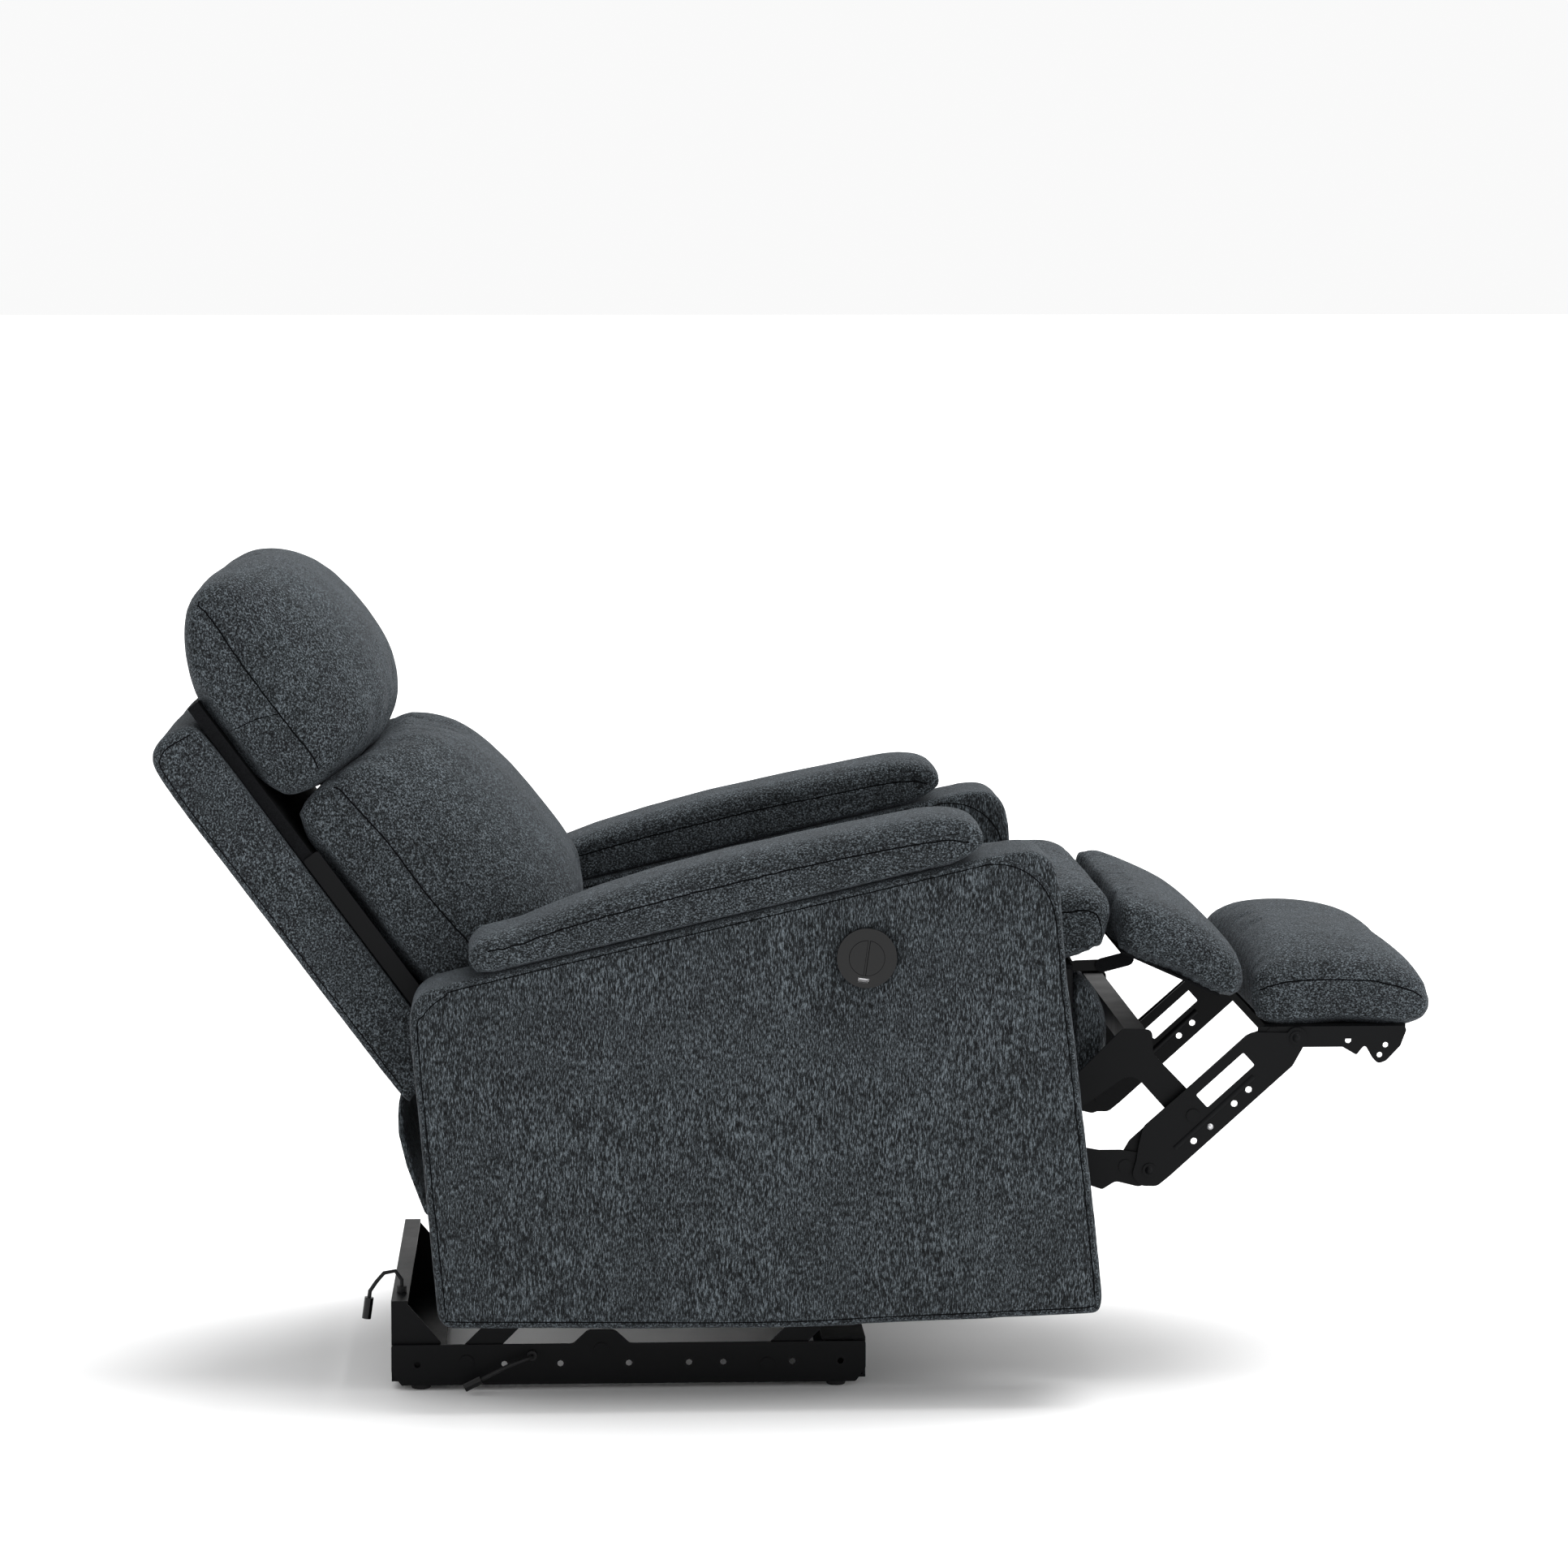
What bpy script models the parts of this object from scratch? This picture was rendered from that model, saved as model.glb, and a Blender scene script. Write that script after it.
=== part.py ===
"""Power recliner armchair, modelled fully reclined with its footrest out.

Metres, +Z up, +X the way the sitter faces, -Y the sitter's right, where the switch is.
Side-view places are (x, z) pairs in the chair's own side plane; the last step centres
the whole chair on the world's origin. Every moving piece hangs from an empty that
stands on its joint's axis.
"""

from math import acos, atan2, cos, degrees, hypot, pi, radians, sin

import bmesh
import bpy
from mathutils import Matrix, Vector

# ---------------------------------------------------------------- general sizes
STEEL = 0.003               # thickness of the stamped plates
LAYER = STEEL + 0.001       # pitch of the stacked plates across the chair
TOUCH = 0.0003              # gap kept where one piece rests on another
PIN_RADIUS = 0.005
PIN_CLEARANCE = 0.0004
RIVET_HEAD_RADIUS = 0.0085
RIVET_HEAD = 0.0015
THIN_HEAD = 0.0010          # heads that pass behind the outer link

ARM_INNER = 0.265           # inner face of each arm, from the middle of the chair
ARM_WIDTH = 0.130
OUTER_PLATE = ARM_INNER - 0.005     # middle of layer 0 of the stacked plates
RAIL_LAYER = 0
OUTER_LINK_LAYER = -0.2
INNER_LINK_LAYER = 1        # lower link, swing links and ottoman bracket
SEAT_PLATE_LAYER = 2        # seat plate and twin link
CROSS_LINK_LAYER = 3        # cross link and back bracket

# ---------------------------------------------------------------- base
RAIL_REAR = -0.216
RAIL_FRONT = 0.352
RAIL_HEIGHT = 0.055
RAIL_FLANGE = 0.028
GLIDE_HEIGHT = 0.006
GLIDE_RADIUS = 0.013
REAR_BAR_HEIGHT = 0.107
REAR_BAR_DEPTH = 0.060
FRONT_BAR_DEPTH = 0.052
REAR_SWING_FOOT = (-0.126, 0.034)
FRONT_SWING_FOOT = (0.234, 0.028)
SWING_LENGTH = 0.120
SWING_LEAN = 45.0           # degrees above the floor, leaning forward
SWING_HALF_WIDTH = 0.016
RAIL_HOLES = (-0.185, -0.081, -0.014, 0.068, 0.140, 0.181, 0.264, 0.322)
RAIL_HOLE_RADIUS = 0.004
STOP_LOBE = (0.035, 0.048)

# ---------------------------------------------------------------- back
BACK_LEAN = radians(36.3)   # from upright
BACK_HINGE = (-0.080, 0.380)
BACK_HALF_WIDTH = ARM_INNER - 0.003
CUSHION_HALF_WIDTH = ARM_INNER - 0.010

# ---------------------------------------------------------------- seat
SEAT_SLOPE = 0.20
SEAT_FRONT = (0.600, 0.516)     # front end of the sloping deck line
DECK = 0.012
FRONT_RAIL_DEPTH = 0.040
FRONT_RAIL_HEIGHT = 0.060
VALANCE_HALF_WIDTH = ARM_INNER - 0.040
CROSS_TUBE = 0.025
REAR_TUBE = (-0.055, 0.280)

# ---------------------------------------------------------------- footrest linkage
LOWER_PIVOT = (0.470, 0.300)    # lower link on the seat plate
KNEE = (0.692, 0.260)           # lower link to outer link
ANKLE = (0.868, 0.419)          # outer link to ottoman bracket
TWIN_OFFSET = (-0.028, 0.004)   # twin link pivots, from the knee and from the ankle
FOLD = 90.0                     # turn of the lower link and of the ottoman, degrees
OUTER_SWING = 8.5              # turn of the outer link the other way, degrees
CROSS_PIN = (0.744, 0.326)      # cross link pin on the outer link
CROSS_PIN_PLAY = 0.0040         # this pin is the linkage's open pivot
TWIN_BOW = 0.0135               # the twin link bows clear of the cross link's pin
TORQUE_TUBE = (0.678, 0.413)
DRIVE_PIN = (0.672, 0.345)
PANEL_BOSSES = ((0.060, 0.300), (0.340, 0.375))   # spacers between seat plate and side panel
PAD_HINGE = (0.640, 0.500)
PAD_EAR_Y = ARM_INNER - 0.065     # middle of the hinge ears, each side
OTTOMAN_HALF_WIDTH = ARM_INNER - 0.003
BOARD = 0.012

# ---------------------------------------------------------------- actuator
ACTUATOR_PIVOT = (0.000, 0.235)
ACTUATOR_RAIL_START = 0.0705
ACTUATOR_RAIL_END = 0.455
ACTUATOR_RAIL_WIDTH = 0.030
ACTUATOR_RAIL_HEIGHT = 0.020
SLIDER_PLACE = 0.400            # middle of the slider along the rail
SLIDER_LENGTH = 0.050
FORK_Y = 0.0237
LUG_Y = 0.0200

# ---------------------------------------------------------------- switch
SWITCH = (0.344, 0.538)
BEZEL_THICKNESS = 0.006
BARREL_DEPTH = 0.020
BUTTON_RADIUS = 0.0205
BARREL_RADIUS = BUTTON_RADIUS + 0.0095
BEZEL_RADIUS = BARREL_RADIUS + 0.005
BUTTON_GAP = 0.0005
BUTTON_DEPTH = 0.009
WELL_DEPTH = 0.016
DIVIDER = 0.0020
SWITCH_TILT = radians(8)
USB_WIDTH = 0.0125
USB_HEIGHT = 0.0050
USB_DROP = BUTTON_RADIUS + 0.0057    # the port, below the buttons

# ---------------------------------------------------------------- leads
LEAD_RADIUS = 0.0025
PLUG_RADIUS = 0.0055
PLUG_LENGTH = 0.026
GROMMET_RADIUS = 0.006

ROUND_SEGMENTS = 16

parts = None
cutters = None
places = {}


# ---------------------------------------------------------------- scene helpers
def clear_scene():
    for item in list(bpy.data.objects):
        bpy.data.objects.remove(item, do_unlink=True)


def new_collection(name):
    group = bpy.data.collections.new(name)
    bpy.context.scene.collection.children.link(group)
    return group


def material(name, colour, roughness, metallic=0.0):
    made = bpy.data.materials.get(name)
    if made:
        return made
    made = bpy.data.materials.new(name)
    made.use_nodes = True
    shader = made.node_tree.nodes["Principled BSDF"]
    shader.inputs["Base Color"].default_value = (*colour, 1.0)
    shader.inputs["Roughness"].default_value = roughness
    shader.inputs["Metallic"].default_value = metallic
    return made


def black_steel():
    return material("black_painted_steel", (0.010, 0.011, 0.012), 0.42, 0.3)


def fabric():
    return material("charcoal_fabric", (0.045, 0.050, 0.055), 0.95)


def dark_cloth():
    return material("black_dust_cloth", (0.008, 0.008, 0.009), 0.95)


def timber():
    return material("plywood", (0.42, 0.28, 0.15), 0.7)


def plastic():
    return material("dark_plastic", (0.030, 0.033, 0.036), 0.35)


def rubber():
    return material("black_rubber", (0.012, 0.012, 0.012), 0.8)


def bright_steel():
    return material("zinc_steel", (0.55, 0.56, 0.58), 0.3, 1.0)


def pivot(name, place, parent=None):
    """An empty on a joint's axis, at a side-view place in the chair."""
    empty = bpy.data.objects.new(name, None)
    empty.empty_display_size = 0.03
    parts.objects.link(empty)
    places[name] = Vector((place[0], 0.0, place[1]))
    hang(empty, parent, places[name])
    return empty


def hang(item, parent, place):
    """Put an object at its place in the chair, under its parent."""
    if parent is None:
        item.location = place
        return
    item.parent = parent
    item.location = place - places[parent.name]


def mesh_object(name, mesh, parent, place=(0, 0, 0), skin=None):
    made = bpy.data.objects.new(name, mesh)
    group = parts if skin else cutters
    group.objects.link(made)
    if skin:
        mesh.materials.clear()
        mesh.materials.append(skin)
    else:
        made.hide_render = True
        made.display_type = "WIRE"
    hang(made, parent, Vector(place))
    return made


def boolean(target, tool, operation):
    step = target.modifiers.new(tool.name, "BOOLEAN")
    step.operation = operation
    step.solver = "EXACT"
    step.object = tool
    return target


def cut(target, tool):
    return boolean(target, tool, "DIFFERENCE")


def add(target, tool):
    return boolean(target, tool, "UNION")


# ---------------------------------------------------------------- outlines
def rounded(corners, steps=4):
    """Replace each (x, z, radius) corner by an arc; a radius of 0 keeps it sharp."""
    outline = []
    count = len(corners)
    for index, (x, z, radius) in enumerate(corners):
        corner = Vector((x, z))
        before = Vector(corners[index - 1][:2]) - corner
        after = Vector(corners[(index + 1) % count][:2]) - corner
        if radius <= 0:
            outline.append((x, z))
            continue
        opening = before.angle(after)
        reach = min(radius / abs(_tan(opening / 2)), 0.48 * before.length, 0.48 * after.length)
        start = corner + before.normalized() * reach
        end = corner + after.normalized() * reach
        for step in range(steps + 1):
            t = step / steps
            point = start.lerp(corner, t).lerp(corner.lerp(end, t), t)
            outline.append((point.x, point.y))
    return outline


def _tan(angle):
    return sin(angle) / cos(angle)


def smooth_loop(points, count):
    """A closed Catmull-Rom curve through the points, read at even steps."""
    total = len(points)
    loop = []
    for index in range(count):
        place = index * total / count
        first = int(place)
        t = place - first
        a, b, c, d = (Vector(points[(first + k) % total]) for k in (-1, 0, 1, 2))
        bend = 2 * b + (c - a) * t + (2 * a - 5 * b + 4 * c - d) * t * t
        bend += (3 * b - a - 3 * c + d) * t ** 3
        loop.append(bend / 2)
    return loop


def circle(x, z, radius, steps=ROUND_SEGMENTS):
    turn = 2 * pi / steps
    angles = [(k + 0.3) * turn for k in range(steps)]
    return [(x + radius * cos(angle), z + radius * sin(angle)) for angle in angles]


def slot_outline(start, end, radius, steps=8):
    """A strip with round ends between two places."""
    heading = atan2(end[1] - start[1], end[0] - start[0])
    outline = []
    for centre, first in ((start, heading + pi / 2), (end, heading - pi / 2)):
        for step in range(steps + 1):
            angle = first + pi * step / steps
            outline.append((centre[0] + radius * cos(angle), centre[1] + radius * sin(angle)))
    return outline


def back_place(depth, height):
    """A place in the back's own lean, as a side-view place in the chair."""
    x = depth * cos(BACK_LEAN) - height * sin(BACK_LEAN)
    z = depth * sin(BACK_LEAN) + height * cos(BACK_LEAN)
    return (x, z)


def leaning(points):
    """Turn (depth, height, radius) corners of the back into chair corners."""
    return [(*back_place(depth, height), radius) for depth, height, radius in points]


def turned(place, centre, angle):
    """A side-view place turned about a centre; positive turns forward and down."""
    dx = place[0] - centre[0]
    dz = place[1] - centre[1]
    x = centre[0] + dx * cos(angle) + dz * sin(angle)
    z = centre[1] - dx * sin(angle) + dz * cos(angle)
    return (x, z)


# ---------------------------------------------------------------- solids
def flat_mesh(name, outlines, thickness):
    """A flat outline with its holes as a filled curve, given back as a closed mesh."""
    curve = bpy.data.curves.new(name, "CURVE")
    curve.dimensions = "2D"
    curve.fill_mode = "BOTH"
    curve.extrude = thickness / 2
    for outline in outlines:
        spline = curve.splines.new("POLY")
        spline.points.add(len(outline) - 1)
        for point, (x, z) in zip(spline.points, outline):
            point.co = (x, z, 0.0, 1.0)
        spline.use_cyclic_u = True
    drawn = bpy.data.objects.new(name, curve)
    parts.objects.link(drawn)
    graph = bpy.context.evaluated_depsgraph_get()
    mesh = bpy.data.meshes.new_from_object(drawn.evaluated_get(graph))
    bpy.data.objects.remove(drawn)
    bpy.data.curves.remove(curve)
    shape = bmesh.new()
    shape.from_mesh(mesh)
    bmesh.ops.remove_doubles(shape, verts=shape.verts, dist=1e-6)
    bmesh.ops.transform(shape, matrix=Matrix.Rotation(pi / 2, 4, "X"), verts=shape.verts)
    bmesh.ops.recalc_face_normals(shape, faces=shape.faces)
    shape.to_mesh(mesh)
    shape.free()
    mesh.name = name
    return mesh


def plate(name, outline, y, thickness, parent, skin, holes=()):
    """A plate that stands in the side plane, its middle at y."""
    rings = [circle(*hole) if len(hole) == 3 else hole for hole in holes]
    mesh = flat_mesh(name, [outline, *rings], thickness)
    made = mesh_object(name, mesh, parent, (0, 0, 0), skin)
    shift = made.location.copy()
    mesh.transform(Matrix.Translation(shift + Vector((0, y, 0))))
    made.location = made.location - shift
    return made


def block(name, low, high, parent, skin=None):
    shape = bmesh.new()
    bmesh.ops.create_cube(shape, size=1.0)
    size = [b - a for a, b in zip(low, high)]
    bmesh.ops.scale(shape, vec=size, verts=shape.verts)
    mesh = bpy.data.meshes.new(name)
    shape.to_mesh(mesh)
    shape.free()
    middle = [(a + b) / 2 for a, b in zip(low, high)]
    return mesh_object(name, mesh, parent, middle, skin)


def rod(name, place, radius, y_from, y_to, parent, skin=None, steps=ROUND_SEGMENTS):
    """A round bar across the chair."""
    length = abs(y_to - y_from)
    shape = bmesh.new()
    bmesh.ops.create_cone(shape, cap_ends=True, segments=steps, radius1=radius,
                          radius2=radius, depth=length,
                          matrix=Matrix.Rotation(pi / 2, 4, "X"))
    mesh = bpy.data.meshes.new(name)
    shape.to_mesh(mesh)
    shape.free()
    middle = (place[0], (y_from + y_to) / 2, place[1])
    made = mesh_object(name, mesh, parent, middle, skin)
    return made


def soft_block(name, edge, middle, half_width, parent, skin, y=0.0, side_round=0.010,
               around=30, rows=(0.35, 0.62, 0.82, 0.94), rest=None):
    """A cushion: one side outline at its edges, swelling to another in its middle.

    rest gives the height of what it lies on, at each x.
    """
    edge_loop = smooth_loop(edge, around)
    middle_loop = smooth_loop(middle, around)
    centre = sum(edge_loop, Vector((0, 0))) / around
    shape = bmesh.new()
    rings = []
    stations = [-1.0, *[-row for row in reversed(rows)], 0.0, *rows, 1.0]
    for station in stations:
        swell = (1 - station ** 4) ** 0.6
        ring = []
        for outer, inner in zip(edge_loop, middle_loop):
            point = outer.lerp(inner, swell)
            if abs(station) == 1.0:
                inward = centre - point
                point = point + inward.normalized() * min(side_round, inward.length / 2)
            if rest:
                point.y = max(point.y, rest(point.x))
            ring.append(shape.verts.new((point.x, y + station * half_width, point.y)))
        rings.append(ring)
    for ring, following in zip(rings, rings[1:]):
        for index in range(around):
            beside = (index + 1) % around
            shape.faces.new((ring[index], ring[beside], following[beside], following[index]))
    shape.faces.new(rings[0])
    shape.faces.new(rings[-1])
    bmesh.ops.recalc_face_normals(shape, faces=shape.faces)
    bmesh.ops.triangulate(shape, faces=[f for f in shape.faces if len(f.verts) > 4])
    mesh = bpy.data.meshes.new(name)
    shape.to_mesh(mesh)
    shape.free()
    mesh.shade_smooth()
    made = mesh_object(name, mesh, parent, (0, 0, 0), skin)
    shift = made.location.copy()
    mesh.transform(Matrix.Translation(shift))
    made.location = made.location - shift
    return made


def soften(item, width, segments=2):
    """Rounded long edges on a padded or wooden piece."""
    step = item.modifiers.new("rounded_edges", "BEVEL")
    step.width = width
    step.segments = segments
    step.limit_method = "ANGLE"
    step.angle_limit = radians(50)
    return item


def drill(target, name, holes, y, depth, parent):
    """Cut a set of round holes across the chair with one cutter."""
    shape = bmesh.new()
    for x, z, radius, steps in holes:
        place = Matrix.Translation((x, y, z)) @ Matrix.Rotation(pi / 2, 4, "X")
        bmesh.ops.create_cone(shape, cap_ends=True, segments=steps, radius1=radius,
                              radius2=radius, depth=depth, matrix=place)
    mesh = bpy.data.meshes.new(name)
    shape.to_mesh(mesh)
    shape.free()
    tool = mesh_object(name, mesh, parent, places[parent.name])
    mesh.transform(Matrix.Translation(-places[parent.name]))
    return cut(target, tool)


def across(side, y_from, y_to):
    """The span between two distances from the middle, on one side of the chair."""
    ends = (side * y_from, side * y_to)
    return min(ends), max(ends)


def layer_y(side, layer):
    """Middle of a plate of the stack: 0 is the outermost."""
    return side * (OUTER_PLATE - layer * LAYER)


def rivet(target, name, place, side, outer_layer, inner_layer, parent,
          outer_head=RIVET_HEAD, inner_head=RIVET_HEAD, head_radius=RIVET_HEAD_RADIUS):
    """A pin through the stack of plates, with its heads, joined to the plate it turns with."""
    y_out = layer_y(side, outer_layer) + side * (STEEL / 2 + TOUCH)
    y_in = layer_y(side, inner_layer) - side * (STEEL / 2 + TOUCH)
    add(target, rod(name + "_shank", place, PIN_RADIUS, y_out, y_in, parent, steps=12))
    if outer_head:
        add(target, rod(name + "_outer_head", place, head_radius, y_out - side * TOUCH / 2,
                        y_out + side * outer_head, parent, steps=12))
    if inner_head:
        add(target, rod(name + "_inner_head", place, head_radius, y_in + side * TOUCH / 2,
                        y_in - side * inner_head, parent, steps=12))
    return target


def pin_hole(place, extra=0.0):
    return (place[0], place[1], PIN_RADIUS + PIN_CLEARANCE + extra)


# ---------------------------------------------------------------- base
def base_rail(side, word, chair):
    """Angle-iron floor rail: an upright web with its flange turned inward."""
    y = layer_y(side, RAIL_LAYER)
    low = GLIDE_HEIGHT
    outline = rounded([
        (RAIL_REAR + 0.012, low, 0), (RAIL_FRONT - 0.012, low, 0.004),
        (RAIL_FRONT, low + 0.017, 0.004), (RAIL_FRONT, RAIL_HEIGHT, 0.003),
        (STOP_LOBE[0] + 0.034, RAIL_HEIGHT, 0.010),
        (STOP_LOBE[0] + 0.016, STOP_LOBE[1] + 0.024, 0.012),
        (STOP_LOBE[0] - 0.016, STOP_LOBE[1] + 0.024, 0.012),
        (STOP_LOBE[0] - 0.034, RAIL_HEIGHT, 0.010),
        (RAIL_REAR, RAIL_HEIGHT, 0.003), (RAIL_REAR, low + 0.016, 0.003),
    ])
    rail = plate(f"base_rail_{word}", outline, y, STEEL, chair, black_steel())
    y_low, y_high = across(side, OUTER_PLATE - STEEL / 2 + 0.0005 - RAIL_FLANGE,
                           OUTER_PLATE - STEEL / 2 + 0.0005)
    flange = block(f"rail_flange_{word}", (RAIL_REAR + 0.014, y_low, low + TOUCH),
                   (RAIL_FRONT - 0.014, y_high, low + STEEL), chair)
    add(rail, flange)
    y_head = y + side * STEEL / 2
    bolt = rod(f"stop_bolt_{word}", STOP_LOBE, RIVET_HEAD_RADIUS, y_head - side * 0.0005,
               y_head + side * RIVET_HEAD, chair, steps=12)
    add(rail, bolt)
    holes = [(x, 0.031, RAIL_HOLE_RADIUS, 8) for x in RAIL_HOLES]
    holes += [(*pin_hole(foot), 12) for foot in (REAR_SWING_FOOT, FRONT_SWING_FOOT)]
    return drill(rail, f"rail_holes_{word}", holes, y, 3 * STEEL, chair)


def bar_half_length():
    """Crossbars end just inside the plates that swing beside the rails."""
    return OUTER_PLATE - INNER_LINK_LAYER * LAYER - STEEL / 2 - 0.001


def crossbar(name, x_web, reach, height, lip, chair):
    """A pressed channel across the floor rails, its web at x_web."""
    low = GLIDE_HEIGHT + STEEL + TOUCH
    way = 1 if reach > 0 else -1
    profile = [
        (x_web, low), (x_web + reach, low), (x_web + reach, low + STEEL),
        (x_web + way * STEEL, low + STEEL), (x_web + way * STEEL, height - STEEL),
        (x_web + lip, height - STEEL), (x_web + lip, height), (x_web, height),
    ]
    length = 2 * bar_half_length()
    return plate(name, profile, 0.0, length, chair, black_steel())


def crossbar_gusset(bar, side, word, chair):
    low = GLIDE_HEIGHT + STEEL + 0.001
    x = RAIL_REAR + 0.001
    outline = [
        (x, low), (x + REAR_BAR_DEPTH - 0.002, low),
        (x + REAR_BAR_DEPTH - 0.002, RAIL_HEIGHT + 0.002),
        (x + 0.016, REAR_BAR_HEIGHT - 0.001), (x, REAR_BAR_HEIGHT - 0.001),
    ]
    y = side * (bar_half_length() - STEEL / 2 - 0.0002)
    return add(bar, plate(f"gusset_{word}", outline, y, STEEL, chair, None))


def floor_glide(name, x, side, chair):
    middle = side * (OUTER_PLATE - RAIL_FLANGE / 2 - 0.001)
    shape = bmesh.new()
    height = GLIDE_HEIGHT - TOUCH
    bmesh.ops.create_cone(shape, cap_ends=True, segments=16, radius1=GLIDE_RADIUS - 0.002,
                          radius2=GLIDE_RADIUS, depth=height)
    mesh = bpy.data.meshes.new(name)
    shape.to_mesh(mesh)
    shape.free()
    mesh_object(name, mesh, chair, (x, middle, height / 2), rubber())


def build_base(chair):
    for side, word in ((-1, "right"), (1, "left")):
        base_rail(side, word, chair)
        floor_glide(f"glide_rear_{word}", RAIL_REAR + 0.035, side, chair)
        floor_glide(f"glide_front_{word}", RAIL_FRONT - 0.035, side, chair)
    rear = crossbar("rear_crossbar", RAIL_REAR, REAR_BAR_DEPTH, REAR_BAR_HEIGHT, 0.020, chair)
    for side, word in ((-1, "right"), (1, "left")):
        crossbar_gusset(rear, side, word, chair)
    crossbar("front_crossbar", RAIL_FRONT, -FRONT_BAR_DEPTH, RAIL_HEIGHT + 0.003,
             -FRONT_BAR_DEPTH, chair)


# ---------------------------------------------------------------- swing links
def swing_top(foot):
    lean = radians(SWING_LEAN)
    return (foot[0] + SWING_LENGTH * cos(lean), foot[1] + SWING_LENGTH * sin(lean))


def swing_link(name, foot, side, parent):
    top = swing_top(foot)
    outline = slot_outline(foot, top, SWING_HALF_WIDTH)
    link = plate(name, outline, layer_y(side, INNER_LINK_LAYER), STEEL, parent, black_steel())
    rivet(link, name + "_foot", foot, side, RAIL_LAYER, INNER_LINK_LAYER, parent)
    rivet(link, name + "_top", top, side, INNER_LINK_LAYER, SEAT_PLATE_LAYER, parent)
    return link


# ---------------------------------------------------------------- seat body
def deck_height(x):
    """Height of the line that the seat cushion lies on."""
    return SEAT_FRONT[1] + (x - SEAT_FRONT[0]) * SEAT_SLOPE


def seat_plate(side, word, parent):
    """Large stamped side plate that carries every linkage pivot."""
    hinge_x, hinge_z = BACK_HINGE
    low_x, low_z = LOWER_PIVOT
    rear_x, rear_z = swing_top(REAR_SWING_FOOT)
    front_x, front_z = swing_top(FRONT_SWING_FOOT)
    rail_front = SEAT_FRONT[0] - 0.002
    outline = rounded([
        (hinge_x - 0.026, hinge_z - 0.005, 0.010), (hinge_x - 0.018, hinge_z + 0.022, 0.012),
        (hinge_x + 0.016, hinge_z + 0.022, 0.010),
        (hinge_x + 0.030, deck_height(hinge_x + 0.030) - 0.014, 0.006),
        (rail_front, deck_height(rail_front) - 0.012, 0.004),
        (rail_front, deck_height(rail_front) - FRONT_RAIL_HEIGHT - 0.008, 0.006),
        (low_x + 0.055, low_z + 0.128, 0.020), (low_x + 0.040, low_z - 0.010, 0.020),
        (low_x + 0.006, low_z - 0.026, 0.016), (low_x - 0.085, low_z - 0.085, 0.030),
        (front_x + 0.026, front_z, 0.012), (front_x, front_z - 0.024, 0.016),
        (front_x - 0.026, front_z, 0.012), (front_x - 0.040, front_z + 0.055, 0.020),
        (rear_x + 0.070, rear_z + 0.050, 0.020), (rear_x + 0.026, rear_z - 0.004, 0.012),
        (rear_x, rear_z - 0.024, 0.016), (rear_x - 0.026, rear_z, 0.012),
        (rear_x - 0.046, rear_z + 0.080, 0.020),
    ])
    holes = [pin_hole(place) for place in
             (LOWER_PIVOT, swing_top(REAR_SWING_FOOT), swing_top(FRONT_SWING_FOOT),
              BACK_HINGE, cross_link_pivot())]
    rings = [circle(*hole, 12) for hole in holes]
    y = layer_y(side, SEAT_PLATE_LAYER)
    return plate(f"seat_plate_{word}", outline, y, STEEL, parent, black_steel(), rings)


def seat_plate_inner():
    return OUTER_PLATE - SEAT_PLATE_LAYER * LAYER - STEEL / 2


def seat_frame(parent):
    """Front rail, deck and rear tube between the two seat plates."""
    half = seat_plate_inner() - 0.0005
    front_x = SEAT_FRONT[0]
    rail_top = deck_height(front_x - FRONT_RAIL_DEPTH) - 0.0015
    block("front_rail", (front_x - FRONT_RAIL_DEPTH, -half, rail_top - FRONT_RAIL_HEIGHT),
          (front_x, half, rail_top), parent, timber())
    rear = BACK_HINGE[0] + 0.032
    ahead = front_x - FRONT_RAIL_DEPTH - 0.001
    deck = [
        (rear, deck_height(rear) - 0.0005), (rear, deck_height(rear) - 0.0005 - DECK),
        (ahead, deck_height(ahead) - 0.0005 - DECK), (ahead, deck_height(ahead) - 0.0005),
    ]
    plate("seat_deck", deck, 0.0, 2 * half, parent, dark_cloth())
    x, z = REAR_TUBE
    reach = CROSS_TUBE / 2
    tube = block("rear_cross_tube", (x - reach, -half, z - reach), (x + reach, half, z + reach),
                 parent, black_steel())
    for side, word in ((-1, "right"), (1, "left")):
        ear = slot_outline((x + reach - 0.006, z - 0.004), ACTUATOR_PIVOT, 0.011)
        y = side * 0.0160
        tool = plate(f"clevis_{word}", ear, y, 0.004, parent, None,
                     [(*ACTUATOR_PIVOT, PIN_RADIUS + PIN_CLEARANCE)])
        add(tube, tool)
    return rail_top


def pad_hinge_bracket(parent, rail_top):
    """Angle on the front rail, with two ears for the calf pad's hinge pins."""
    x = SEAT_FRONT[0] + TOUCH
    half = PAD_EAR_Y + 0.015
    angle = block("pad_hinge_bracket", (x, -half, rail_top - 0.0155), (x + STEEL, half, rail_top),
                  parent, black_steel())
    for side, word in ((-1, "right"), (1, "left")):
        ear = slot_outline((x + 0.008, PAD_HINGE[1] - 0.001), PAD_HINGE, 0.0065)
        hole = (*PAD_HINGE, 0.0044, 10)
        add(angle, plate(f"hinge_ear_{word}", ear, side * PAD_EAR_Y, STEEL, parent, None,
                         [circle(*hole)]))
    return angle


def panel_top(x):
    """Height of the arm box's sloping top, which the arm pad lies on."""
    return 0.517 + (x + 0.112) * 0.2316


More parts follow.
